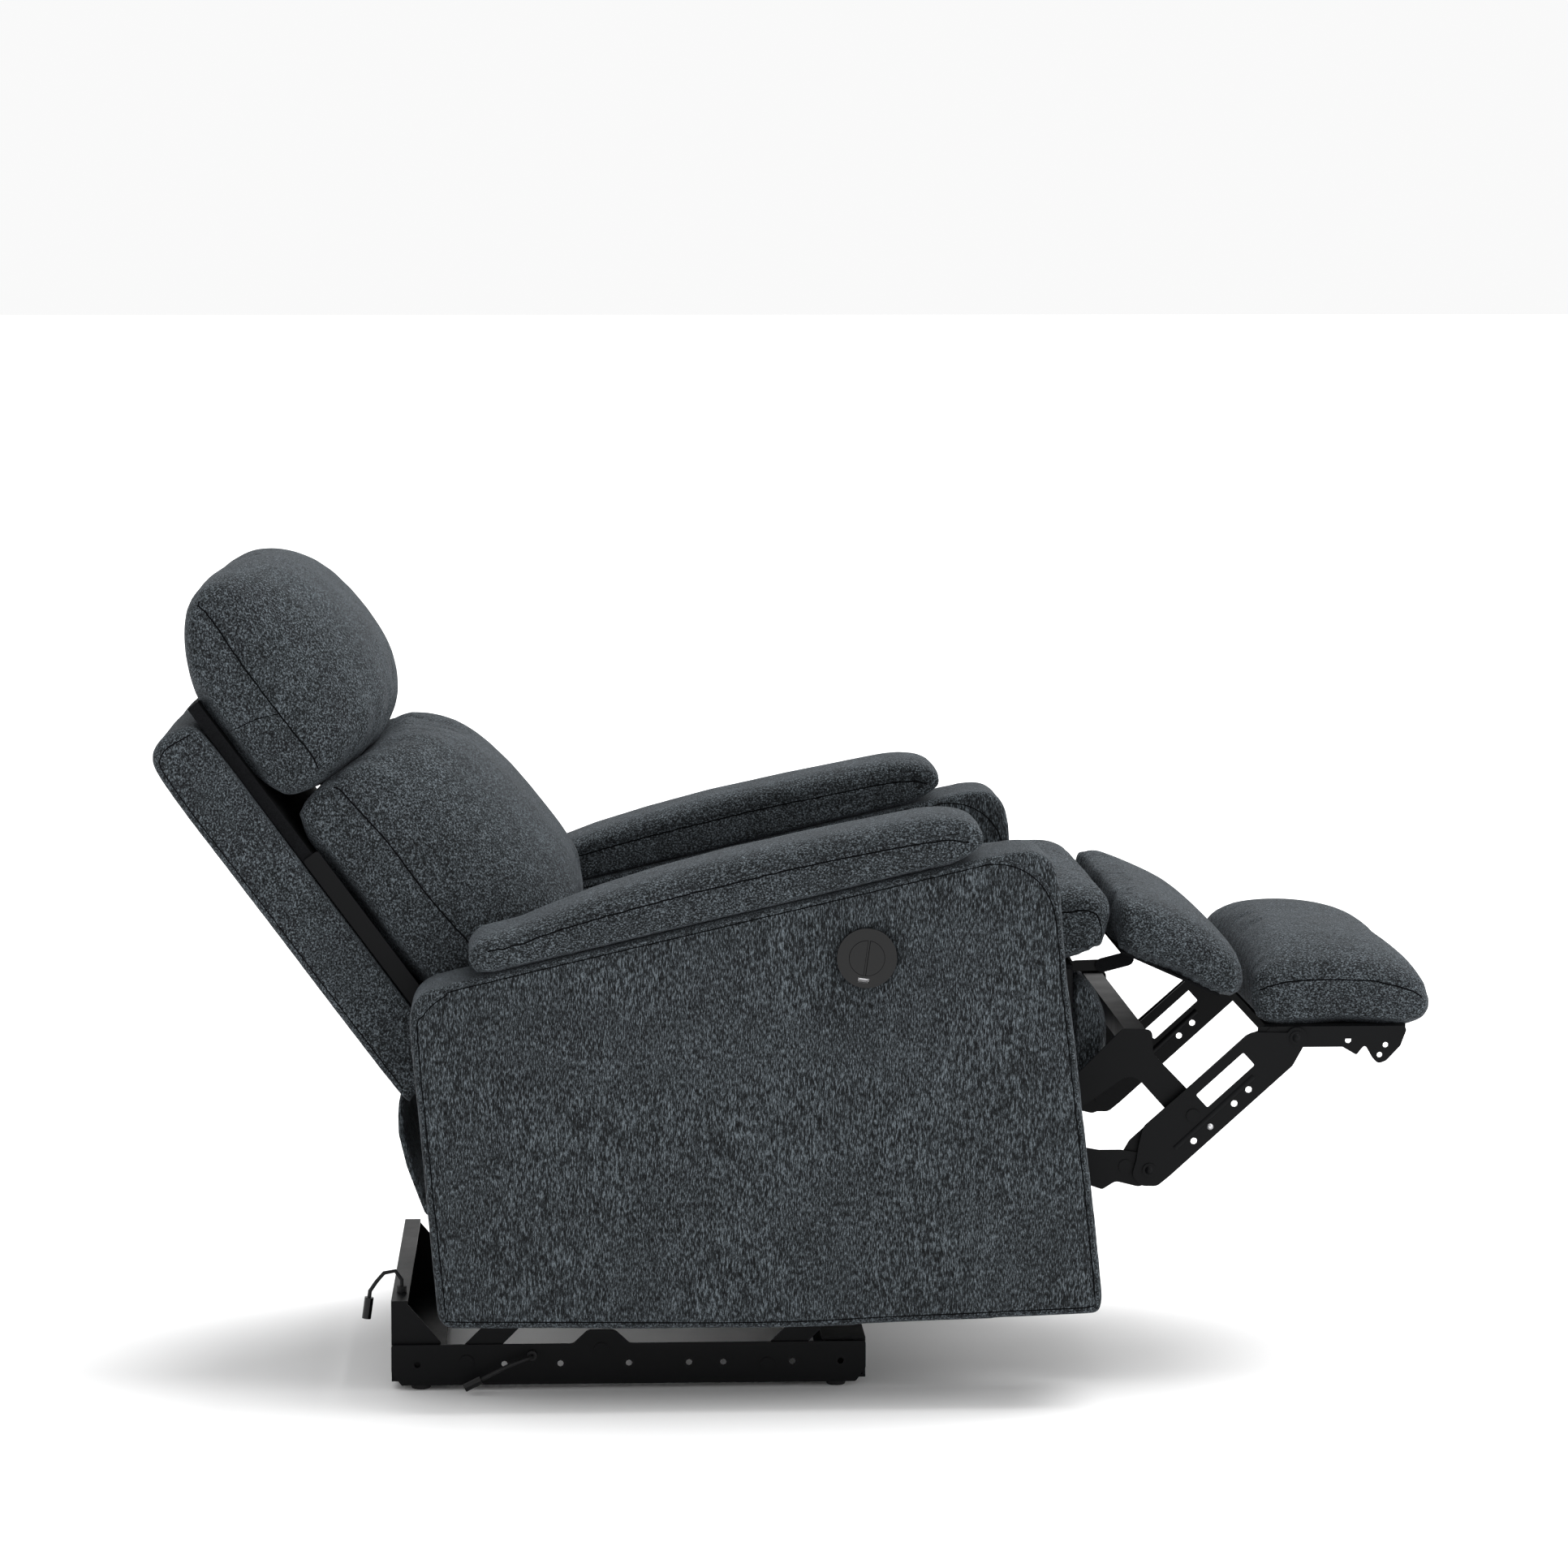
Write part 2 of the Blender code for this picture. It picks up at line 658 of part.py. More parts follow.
def side_panel(side, word, parent):
    outline = rounded([
        (-0.150, 0.102, 0.014), (0.222, 0.098, 0), (0.603, 0.112, 0), (0.6215, 0.113, 0.010),
        (0.624, 0.133, 0), (0.602, 0.326, 0), (0.579, 0.517, 0.060), (0.566, 0.672, 0.085),
        (0.458, panel_top(0.458), 0), (-0.112, panel_top(-0.112), 0),
        (-0.191, 0.498, 0.045), (-0.157, 0.116, 0.004),
    ], 5)
    y = side * (ARM_INNER + ARM_WIDTH / 2)
    panel = plate(f"side_panel_{word}", outline, y, ARM_WIDTH, parent, fabric())
    soften(panel, 0.005)
    y_low, y_high = across(side, OUTER_PLATE - SEAT_PLATE_LAYER * LAYER + STEEL / 2 + TOUCH,
                           ARM_INNER + 0.002)
    for number, place in enumerate(PANEL_BOSSES):
        add(panel, rod(f"panel_boss_{word}_{number}", place, 0.014, y_low, y_high, parent, steps=12))
    if side < 0:
        face = -(ARM_INNER + ARM_WIDTH)
        bore = rod("switch_bore", SWITCH, BARREL_RADIUS + TOUCH, face - 0.010,
                   face + BARREL_DEPTH + 0.0005, parent, steps=32)
        cut(panel, bore)
    return panel


def arm_pad(side, word, parent):
    top = [
        (0.474, 0.662), (0.485, 0.676), (0.470, 0.697), (0.435, 0.703), (0.372, 0.693),
        (0.184, 0.654), (0.034, 0.611), (-0.060, 0.574), (-0.106, 0.563), (-0.121, 0.545),
        (-0.114, 0.525),
    ]
    base = [(x, panel_top(x)) for x in (-0.095, 0.05, 0.20, 0.35, 0.445)]
    edge_top = [(x, z - 0.010 * min(1.0, (z - panel_top(x)) / 0.03)) for x, z in top]
    rest = lambda x: panel_top(x) + 2 * TOUCH
    return soft_block(f"arm_pad_{word}", base + edge_top, base + top, ARM_WIDTH / 2 + 0.004,
                      parent, fabric(), y=side * (ARM_INNER + ARM_WIDTH / 2 + 0.001),
                      rest=rest, around=32)


def seat_cushion(parent):
    base = [(x, deck_height(x)) for x in (-0.040, 0.10, 0.30, 0.50, 0.60)]
    edge = base + [
        (0.640, 0.527), (0.6485, 0.542), (0.6488, 0.574), (0.637, 0.588), (0.600, 0.590),
        (0.500, 0.571), (0.370, 0.536), (0.240, 0.495), (0.110, 0.448), (0.000, 0.424), (-0.046, 0.404),
    ]
    middle = base + [
        (0.640, 0.528), (0.6490, 0.545), (0.6490, 0.584), (0.637, 0.600), (0.600, 0.606),
        (0.510, 0.602), (0.370, 0.573), (0.240, 0.532), (0.110, 0.470), (0.000, 0.432), (-0.046, 0.407),
    ]
    return soft_block("seat_cushion", edge, middle, ARM_INNER - 0.006, parent, fabric(),
                      rest=deck_height, around=34)


def valance(parent):
    x = SEAT_FRONT[0] + 0.0015
    outline = [
        (x, 0.372), (x, 0.410), (x, 0.450), (x, 0.482), (0.612, 0.488), (0.628, 0.474),
        (0.642, 0.440), (0.644, 0.402), (0.633, 0.371), (0.616, 0.362),
    ]
    return soft_block("front_valance", outline, outline, VALANCE_HALF_WIDTH, parent, fabric(),
                      around=24, rows=(0.5, 0.9), side_round=0.006)


# ---------------------------------------------------------------- switch
def switch_face():
    return -(ARM_INNER + ARM_WIDTH)


def tilted(x, z):
    """A place on the switch, from its middle, with the switch's own tilt."""
    return (SWITCH[0] + x * cos(SWITCH_TILT) + z * sin(SWITCH_TILT),
            SWITCH[1] - x * sin(SWITCH_TILT) + z * cos(SWITCH_TILT))


def switch_rectangle(width, height, drop=0.0):
    corners = ((-width / 2, -height / 2), (width / 2, -height / 2),
               (width / 2, height / 2), (-width / 2, height / 2))
    return [tilted(x, z - drop) for x, z in corners]


def switch_housing(parent):
    face = switch_face()
    front = face - TOUCH - BEZEL_THICKNESS
    skin = plastic()
    housing = plate("switch_housing", circle(*SWITCH, BEZEL_RADIUS, 40),
                    (face - TOUCH + front) / 2, BEZEL_THICKNESS, parent, skin)
    barrel = rod("switch_barrel", SWITCH, BARREL_RADIUS, face - TOUCH - 0.001,
                 face + BARREL_DEPTH, parent, steps=32)
    add(housing, barrel)
    well = rod("switch_well", SWITCH, BUTTON_RADIUS + BUTTON_GAP, front - 0.005,
               front + WELL_DEPTH, parent, steps=40)
    cut(housing, well)
    rib_depth = WELL_DEPTH - 0.0002
    rib = plate("switch_rib", switch_rectangle(DIVIDER, 2 * BUTTON_RADIUS + 0.003),
                front + 0.0010 + rib_depth / 2, rib_depth, parent, None)
    add(housing, rib)
    pocket = plate("usb_pocket",
                   switch_rectangle(USB_WIDTH + 2 * TOUCH, USB_HEIGHT + 2 * TOUCH, USB_DROP),
                   front + 0.0066, 0.0152, parent, None)
    return cut(housing, pocket)


def usb_port(parent):
    """Metal socket shell with its contact tongue."""
    front = switch_face() - TOUCH - BEZEL_THICKNESS
    depth = 0.0075
    start = front + 0.0062
    outer = switch_rectangle(USB_WIDTH, USB_HEIGHT, USB_DROP)
    shell = plate("usb_port", outer, start + depth / 2, depth, parent, bright_steel())
    wall = 0.0005
    mouth = plate("usb_mouth", switch_rectangle(USB_WIDTH - 2 * wall, USB_HEIGHT - 2 * wall, USB_DROP),
                  start + 0.0020, 0.0100, parent, None)
    cut(shell, mouth)
    tongue = plate("usb_tongue", switch_rectangle(USB_WIDTH - 0.003, 0.0013, USB_DROP - 0.0007),
                   start + 0.0040, 0.0062, parent, None)
    return add(shell, tongue)


def half_moon(name, way, parent):
    """One push button: the part of a disc on one side of the divider."""
    inner = DIVIDER / 2 + BUTTON_GAP
    start = acos(inner / BUTTON_RADIUS)
    steps = 18
    outline = []
    for step in range(steps + 1):
        angle = -start + 2 * start * step / steps
        outline.append(tilted(way * BUTTON_RADIUS * cos(angle), BUTTON_RADIUS * sin(angle)))
    front = switch_face() - TOUCH - BEZEL_THICKNESS - 0.0005
    return plate(name, outline, front + BUTTON_DEPTH / 2, BUTTON_DEPTH, parent, plastic())


# ---------------------------------------------------------------- back
def outside_back(parent):
    """The padded outer shell of the back, a shallow box with a rounded top."""
    outline = [
        (0.0475, 0.402), (0.0460, 0.560), (0.0450, 0.720), (0.0455, 0.862), (0.0520, 0.904),
        (0.0780, 0.917), (0.1080, 0.911), (0.1195, 0.890), (0.1207, 0.780), (0.1207, 0.640),
        (0.1207, 0.500), (0.1200, 0.414), (0.1100, 0.399), (0.0580, 0.397),
    ]
    places_round = [back_place(*point) for point in outline]
    return soft_block("outside_back", places_round, places_round, BACK_HALF_WIDTH, parent,
                      fabric(), side_round=0.006, around=42, rows=(0.5, 0.96))


def back_skirt(parent):
    """Loose fabric flap that closes the gap behind the seat."""
    outer = [(-0.2048, 0.3494), (-0.2060, 0.330), (-0.2050, 0.308), (-0.1950, 0.269), (-0.1720, 0.210)]
    inner = [(x + 0.006, z + 0.001) for x, z in reversed(outer)]
    return plate("back_skirt", outer + inner, 0.0, 2 * (BACK_HALF_WIDTH - 0.014), parent, dark_cloth())


def back_frame(parent):
    corners = [(0.1215, 0.352, 0), (0.1215, 0.925, 0), (0.1360, 0.925, 0), (0.1360, 0.352, 0)]
    half = OUTER_PLATE - CROSS_LINK_LAYER * LAYER - STEEL / 2 - 0.0005
    return plate("back_frame", rounded(leaning(corners)), 0.0, 2 * half, parent, dark_cloth())


def back_bracket(side, word, parent):
    corners = [
        (0.1225, 0.700, 0.004), (0.1225, 0.380, 0.010), (0.1370, 0.3500, 0.012),
        (0.1440, 0.3330, 0.010), (0.1700, 0.3330, 0.014), (0.1810, 0.3560, 0.014),
        (0.1660, 0.3740, 0.012), (0.1440, 0.4100, 0.020), (0.1440, 0.700, 0.004),
    ]
    y = layer_y(side, CROSS_LINK_LAYER)
    bracket = plate(f"back_bracket_{word}", rounded(leaning(corners)), y, STEEL, parent,
                    black_steel())
    return rivet(bracket, f"back_pin_{word}", BACK_HINGE, side, SEAT_PLATE_LAYER,
                 CROSS_LINK_LAYER, parent)


def headrest_cushion(parent):
    edge = [
        (0.150, 0.7700), (0.1405, 0.840), (0.1385, 0.900), (0.142, 0.940), (0.156, 0.972),
        (0.178, 1.008), (0.200, 1.028), (0.211, 1.022), (0.206, 0.980), (0.202, 0.920),
        (0.204, 0.860), (0.212, 0.794), (0.201, 0.7700),
    ]
    middle = [
        (0.150, 0.7640), (0.1376, 0.840), (0.1376, 0.900), (0.146, 0.960), (0.166, 1.006),
        (0.202, 1.038), (0.247, 1.034), (0.2935, 1.008), (0.326, 0.962), (0.337, 0.890),
        (0.330, 0.820), (0.303, 0.769), (0.240, 0.7610),
    ]
    return soft_block("headrest_cushion", [back_place(*p) for p in edge],
                      [back_place(*p) for p in middle], CUSHION_HALF_WIDTH, parent, fabric())


def lumbar_cushion(parent):
    edge = [
        (0.165, 0.458), (0.152, 0.530), (0.149, 0.610), (0.149, 0.690), (0.150, 0.7600),
        (0.201, 0.7610), (0.2145, 0.741), (0.219, 0.690), (0.222, 0.620), (0.228, 0.550),
        (0.234, 0.500), (0.224, 0.464), (0.192, 0.452),
    ]
    middle = [
        (0.162, 0.440), (0.1385, 0.530), (0.1385, 0.610), (0.1385, 0.690), (0.150, 0.7490),
        (0.235, 0.7490), (0.298, 0.7460), (0.338, 0.720), (0.360, 0.640), (0.367, 0.560),
        (0.366, 0.495), (0.350, 0.436), (0.250, 0.418),
    ]
    return soft_block("lumbar_cushion", [back_place(*p) for p in edge],
                      [back_place(*p) for p in middle], CUSHION_HALF_WIDTH, parent, fabric())


# ---------------------------------------------------------------- footrest linkage
def outer_link_turn():
    return radians(FOLD + OUTER_SWING)


def on_outer_link(place, travel):
    """Where a place on the outer link goes, at a share of the fold from 0 to 1."""
    knee = turned(KNEE, LOWER_PIVOT, radians(FOLD) * travel)
    spun = turned(place, KNEE, -radians(OUTER_SWING) * travel)
    return (knee[0] + spun[0] - KNEE[0], knee[1] + spun[1] - KNEE[1])


def cross_link_pivot():
    """Centre of the circle through three places of the cross link's pin."""
    a, b, c = (on_outer_link(CROSS_PIN, travel) for travel in (0.0, 0.5, 1.0))
    d = 2 * (a[0] * (b[1] - c[1]) + b[0] * (c[1] - a[1]) + c[0] * (a[1] - b[1]))
    a2, b2, c2 = (p[0] ** 2 + p[1] ** 2 for p in (a, b, c))
    x = (a2 * (b[1] - c[1]) + b2 * (c[1] - a[1]) + c2 * (a[1] - b[1])) / d
    z = (a2 * (c[0] - b[0]) + b2 * (a[0] - c[0]) + c2 * (b[0] - a[0])) / d
    return (x, z)


def cross_link_turn():
    """Turn of the cross link over the whole fold."""
    centre = cross_link_pivot()
    start = on_outer_link(CROSS_PIN, 0.0)
    end = on_outer_link(CROSS_PIN, 1.0)
    first = atan2(start[1] - centre[1], start[0] - centre[0])
    last = atan2(end[1] - centre[1], end[0] - centre[0])
    return first - last


def along_outer_link(u, v):
    """A place on the outer link, along its line from the knee and across it."""
    length = hypot(ANKLE[0] - KNEE[0], ANKLE[1] - KNEE[1])
    ux, uz = (ANKLE[0] - KNEE[0]) / length, (ANKLE[1] - KNEE[1]) / length
    return (KNEE[0] + u * ux - v * uz, KNEE[1] + u * uz + v * ux)


def twin(place):
    return (place[0] + TWIN_OFFSET[0], place[1] + TWIN_OFFSET[1])


def lower_link(side, word, parent):
    x, z = KNEE
    low_x, low_z = LOWER_PIVOT
    outline = rounded([
        (low_x - 0.020, low_z + 0.016, 0.014), (low_x - 0.016, low_z - 0.020, 0.014),
        (x - 0.090, z - 0.012, 0.020), (x - 0.056, z - 0.024, 0.006), (x - 0.040, z - 0.014, 0.010),
        (x - 0.012, z - 0.021, 0.012), (x + 0.017, z - 0.010, 0.012), (x + 0.012, z + 0.017, 0.012),
        (x - 0.034, z + 0.024, 0.012), (x - 0.060, z + 0.024, 0.010),
    ])
    link = plate(f"lower_link_{word}", outline, layer_y(side, INNER_LINK_LAYER), STEEL, parent,
                 black_steel(), [circle(*pin_hole(KNEE), 12)])
    rivet(link, f"lower_pivot_{word}", LOWER_PIVOT, side, INNER_LINK_LAYER, SEAT_PLATE_LAYER,
          parent, inner_head=0)
    return rivet(link, f"twin_foot_{word}", twin(KNEE), side, INNER_LINK_LAYER,
                 SEAT_PLATE_LAYER, parent, outer_head=THIN_HEAD)


def outer_link(side, word, parent):
    length = hypot(ANKLE[0] - KNEE[0], ANKLE[1] - KNEE[1])
    end = 0.0125
    corners = [
        (-0.020, -0.008, 0.012), (-0.006, -0.021, 0.012), (0.014, -0.022, 0.010),
        (length - 0.026, -0.022, 0.012),
        *[(length + end * cos(step), end * sin(step), 0)
          for step in (-1.4, -1.0, -0.6, -0.2, 0.2, 0.6, 1.0, 1.4, 1.9)],
        (length - 0.036, 0.042, 0.012), (0.030, 0.044, 0.014), (0.012, 0.032, 0.010),
        (-0.004, 0.019, 0.010), (-0.020, 0.009, 0.012),
    ]
    outline = rounded([(*along_outer_link(u, v), radius) for u, v, radius in corners])
    window = rounded([(*along_outer_link(u, v), 0.002) for u, v in
                      ((0.102, 0.009), (0.178, 0.009), (0.178, 0.030), (0.102, 0.030))], 2)
    holes = [circle(*along_outer_link(u, v), 0.0042, 8) for u, v in
             ((0.153, -0.008), (0.129, -0.009), (0.063, -0.010))]
    link = plate(f"outer_link_{word}", outline, layer_y(side, OUTER_LINK_LAYER), STEEL, parent,
                 black_steel(), [window, *holes])
    rivet(link, f"knee_pin_{word}", KNEE, side, OUTER_LINK_LAYER, INNER_LINK_LAYER, parent)
    rivet(link, f"ankle_pin_{word}", ANKLE, side, OUTER_LINK_LAYER, INNER_LINK_LAYER, parent)
    return rivet(link, f"cross_pin_{word}", CROSS_PIN, side, OUTER_LINK_LAYER,
                 CROSS_LINK_LAYER, parent, inner_head=RIVET_HEAD, head_radius=0.0080)


def twin_link(side, word, parent):
    """Bowed link that keeps the ottoman parallel to the lower link."""
    half = 0.0060
    end = 0.0088
    foot = twin(KNEE)
    length = hypot(ANKLE[0] - KNEE[0], ANKLE[1] - KNEE[1])
    corners = [
        (-end, -end, end), (0.010, -end, 0.008), (0.030, TWIN_BOW - half, 0.012),
        (length - 0.030, TWIN_BOW - half, 0.012), (length - 0.010, -end, 0.008),
        (length + end, -end, end), (length + end, 0.006, 0.006),
        (length - 0.024, TWIN_BOW + half, 0.012), (0.024, TWIN_BOW + half, 0.012),
        (-end, end, end),
    ]
    shift = (foot[0] - KNEE[0], foot[1] - KNEE[1])
    outline = []
    for u, v, radius in corners:
        x, z = along_outer_link(u, v)
        outline.append((x + shift[0], z + shift[1], radius))
    holes = [circle(*pin_hole(foot), 12), circle(*pin_hole(twin(ANKLE), 0.0004), 12)]
    return plate(f"twin_link_{word}", rounded(outline), layer_y(side, SEAT_PLATE_LAYER), STEEL,
                 parent, black_steel(), holes)


def cross_link(side, word, parent):
    pivot_x, pivot_z = cross_link_pivot()
    pin_x, pin_z = CROSS_PIN
    tube_x, tube_z = TORQUE_TUBE
    outline = rounded([
        (pin_x + 0.018, pin_z + 0.002, 0.014), (pin_x - 0.002, pin_z - 0.018, 0.014),
        (pin_x - 0.021, pin_z - 0.006, 0.012), (tube_x - 0.006, tube_z - 0.036, 0.020),
        (tube_x - 0.066, tube_z - 0.078, 0.020), (pivot_x + 0.006, pivot_z - 0.022, 0.014),
        (pivot_x - 0.019, pivot_z - 0.010, 0.014), (pivot_x - 0.014, pivot_z + 0.018, 0.014),
        (pivot_x + 0.014, pivot_z + 0.012, 0.014), (tube_x - 0.074, tube_z - 0.040, 0.020),
        (tube_x - 0.017, tube_z + 0.017, 0.008), (tube_x + 0.018, tube_z + 0.015, 0.008),
        (tube_x + 0.019, tube_z - 0.014, 0.014), (pin_x + 0.004, pin_z + 0.020, 0.014),
    ])
    hole = circle(*pin_hole(CROSS_PIN, CROSS_PIN_PLAY), 16)
    link = plate(f"cross_link_{word}", outline, layer_y(side, CROSS_LINK_LAYER), STEEL, parent,
                 black_steel(), [hole])
    return rivet(link, f"cross_foot_{word}", cross_link_pivot(), side, SEAT_PLATE_LAYER,
                 CROSS_LINK_LAYER, parent, outer_head=THIN_HEAD)


def torque_tube(parent):
    """Square tube between the cross links, with two lugs for the actuator."""
    x, z = TORQUE_TUBE
    half = OUTER_PLATE - CROSS_LINK_LAYER * LAYER - STEEL / 2 - TOUCH
    reach = CROSS_TUBE / 2
    tube = block("torque_tube", (x - reach, -half, z - reach), (x + reach, half, z + reach),
                 parent, black_steel())
    for side, word in ((-1, "right"), (1, "left")):
        lug = slot_outline((x, z - 0.004), DRIVE_PIN, 0.0105, 6)
        hole = circle(*DRIVE_PIN, PIN_RADIUS, 10)
        add(tube, plate(f"drive_lug_{word}", lug, side * LUG_Y, STEEL, parent, None, [hole]))
    return tube


def ottoman_base():
    """Height of the flat underside of the ottoman cushion."""
    return ANKLE[1] + 0.014


def ottoman_bracket(side, word, parent):
    x, z = ANKLE
    top = ottoman_base() - 0.0010
    outline = rounded([
        (x - 0.046, top, 0.003), (x - 0.046, z - 0.008, 0.010), (x + 0.002, z - 0.012, 0.010),
        (x + 0.056, z - 0.012, 0.003), (x + 0.073, z - 0.022, 0.003), (x + 0.083, z - 0.009, 0.004),
        (x + 0.092, z - 0.025, 0.004), (x + 0.099, z - 0.033, 0.008), (x + 0.109, z - 0.029, 0.008),
        (x + 0.126, z - 0.011, 0.006), (x + 0.133, z + 0.008, 0.004), (x + 0.131, top, 0.003),
    ])
    holes = [circle(*pin_hole(ANKLE), 12), circle(x + 0.063, z - 0.004, 0.004, 8),
             circle(x + 0.108, z - 0.010, 0.0035, 8), circle(x + 0.101, z - 0.022, 0.0035, 8)]
    y = layer_y(side, INNER_LINK_LAYER)
    bracket = plate(f"ottoman_bracket_{word}", outline, y, STEEL, parent, black_steel(), holes)
    board_low = top - 0.0002 - BOARD
    y_low, y_high = across(side, OUTER_PLATE - 0.043, OUTER_PLATE - INNER_LINK_LAYER * LAYER)
    flange = block(f"bracket_flange_{word}", (x + 0.020, y_low, board_low - TOUCH - STEEL),
                   (x + 0.118, y_high, board_low - TOUCH), parent)
    add(bracket, flange)
    return rivet(bracket, f"twin_top_{word}", twin(ANKLE), side, INNER_LINK_LAYER,
                 SEAT_PLATE_LAYER, parent, outer_head=THIN_HEAD)


def ottoman(parent):
    x, z = ANKLE
    base = ottoman_base()
    top = base - 0.0012
    half = OTTOMAN_HALF_WIDTH - 0.0175
    block("ottoman_board", (x - 0.036, -half, top - BOARD), (x + 0.134, half, base - TOUCH),
          parent, timber())
    low = [(0.834, base), (0.875, base), (0.920, base), (0.965, base), (1.010, base)]
    edge = low + [
        (1.029, base + 0.006), (1.034, base + 0.022), (1.025, base + 0.044), (0.990, base + 0.056),
        (0.942, base + 0.062), (0.887, base + 0.062), (0.838, base + 0.056), (0.817, base + 0.044),
        (0.815, base + 0.012),
    ]
    middle = low + [
        (1.029, base + 0.008), (1.034, base + 0.028), (1.022, base + 0.060), (0.986, base + 0.083),
        (0.938, base + 0.095), (0.885, base + 0.098), (0.838, base + 0.091), (0.817, base + 0.066),
        (0.815, base + 0.016),
    ]
    return soft_block("ottoman_cushion", edge, middle, OTTOMAN_HALF_WIDTH, parent, fabric(),
                      rest=lambda x: base, around=34)


def calf_pad(parent):
    """Padded flap between the seat and the ottoman, on its own hinged board."""
    base = [(0.656, 0.5245), (0.693, 0.5082), (0.741, 0.4870), (0.779, 0.4703)]
    edge = base + [
        (0.798, 0.464), (0.806, 0.480), (0.798, 0.506), (0.763, 0.534), (0.721, 0.556),
        (0.676, 0.578), (0.6535, 0.579), (0.6520, 0.545),
    ]
    middle = base + [
        (0.798, 0.464), (0.807, 0.484), (0.800, 0.516), (0.763, 0.552), (0.721, 0.575),
        (0.674, 0.592), (0.6530, 0.590), (0.6520, 0.550),
    ]
    start = (0.658, 0.5230)
    end = (0.778, 0.4697)
    slope = (end[1] - start[1]) / (end[0] - start[0])
    soft_block("calf_pad", edge, middle, OTTOMAN_HALF_WIDTH, parent, fabric(),
               rest=lambda x: start[1] + slope * (x - start[0]) + 2 * TOUCH)
    drop = STEEL
    strip = [start, end, (end[0] - 0.001, end[1] - drop), (start[0], start[1] - drop)]
    wide = 2 * (OTTOMAN_HALF_WIDTH - 0.022)
    board = plate("calf_board", strip, 0.0, wide, parent, dark_cloth())
    for side, word in ((-1, "right"), (1, "left")):
        far = (start[0] + 0.012, start[1] + slope * 0.012 - 0.010)
        lug = slot_outline(PAD_HINGE, far, 0.0085, 6)
        add(board, plate(f"calf_lug_{word}", lug, side * (PAD_EAR_Y + 0.004), STEEL, parent,
                         None))
        y_low, y_high = across(side, PAD_EAR_Y - 0.0025, PAD_EAR_Y + 0.0045)
        add(board, rod(f"calf_pin_{word}", PAD_HINGE, 0.004, y_low, y_high, parent, steps=10))
    return board


# ---------------------------------------------------------------- actuator
def actuator_angle():
    """Rise of the actuator's line above the floor, with the footrest out."""
    return atan2(DRIVE_PIN[1] - ACTUATOR_PIVOT[1], DRIVE_PIN[0] - ACTUATOR_PIVOT[0])


def actuator_reach(place):
    return hypot(place[0] - ACTUATOR_PIVOT[0], place[1] - ACTUATOR_PIVOT[1])


def folded_drive_pin():
    return turned(DRIVE_PIN, cross_link_pivot(), cross_link_turn())


def actuator_travel():
    return actuator_reach(DRIVE_PIN) - actuator_reach(folded_drive_pin())


def on_actuator(along, above=0.0):
    """A place along the actuator's line from its pivot, and above it."""
    rise = actuator_angle()
    return (ACTUATOR_PIVOT[0] + along * cos(rise) - above * sin(rise),
            ACTUATOR_PIVOT[1] + along * sin(rise) + above * cos(rise))


def actuator_outline(start, end, low, high):
    return [on_actuator(start, low), on_actuator(end, low), on_actuator(end, high),
            on_actuator(start, high)]


def gear_motor(parent):
    rise = actuator_angle()
    gearbox = plate("gear_motor", rounded([(*p, 0.006) for p in
                    actuator_outline(0.014, 0.070, -0.030, 0.030)], 3),
                    0.0, 0.056, parent, black_steel())
    lug = slot_outline(ACTUATOR_PIVOT, on_actuator(0.020), 0.011, 6)
    add(gearbox, plate("motor_lug", lug, 0.0, 0.024, parent, None))
    add(gearbox, rod("motor_pin", ACTUATOR_PIVOT, PIN_RADIUS, -0.020, 0.020, parent, steps=12))
    length = 0.085
    shape = bmesh.new()
    bmesh.ops.create_cone(shape, cap_ends=True, segments=20, radius1=0.024, radius2=0.0265,
                          depth=length)
    mesh = bpy.data.meshes.new("motor_can")
    shape.to_mesh(mesh)
    shape.free()
    x, z = on_actuator(0.042, -0.028 - length / 2)
    can = mesh_object("motor_can", mesh, parent, (x, 0.0, z))
    can.rotation_euler = (0.0, -rise, 0.0)
    return add(gearbox, can)


def channel_profile(name, along_from, along_to, profile, parent, skin):
    """A section drawn across the chair, pushed out along the actuator's line."""
    mesh = flat_mesh(name, [profile], along_to - along_from)
    mesh.transform(Matrix.Rotation(pi / 2, 4, "Z"))
    x, z = on_actuator((along_from + along_to) / 2)
    made = mesh_object(name, mesh, parent, (x, 0.0, z), skin)
    made.rotation_euler = (0.0, -actuator_angle(), 0.0)
    return made


def actuator_rail(parent):
    half = ACTUATOR_RAIL_WIDTH / 2
    tall = ACTUATOR_RAIL_HEIGHT / 2
    wall = 0.0055
    profile = [
        (-half, -tall), (half, -tall), (half, tall), (half - wall, tall),
        (half - wall, -tall + wall), (-half + wall, -tall + wall), (-half + wall, tall), (-half, tall),
    ]
    channel_profile("actuator_rail", ACTUATOR_RAIL_START, ACTUATOR_RAIL_END, profile, parent,
                    material("grey_nylon", (0.05, 0.05, 0.055), 0.5))
    screw = circle(0.0, 0.0015, 0.0035, 12)
    channel_profile("lead_screw", ACTUATOR_RAIL_START, ACTUATOR_RAIL_END - 0.006, screw, parent,
                    bright_steel())


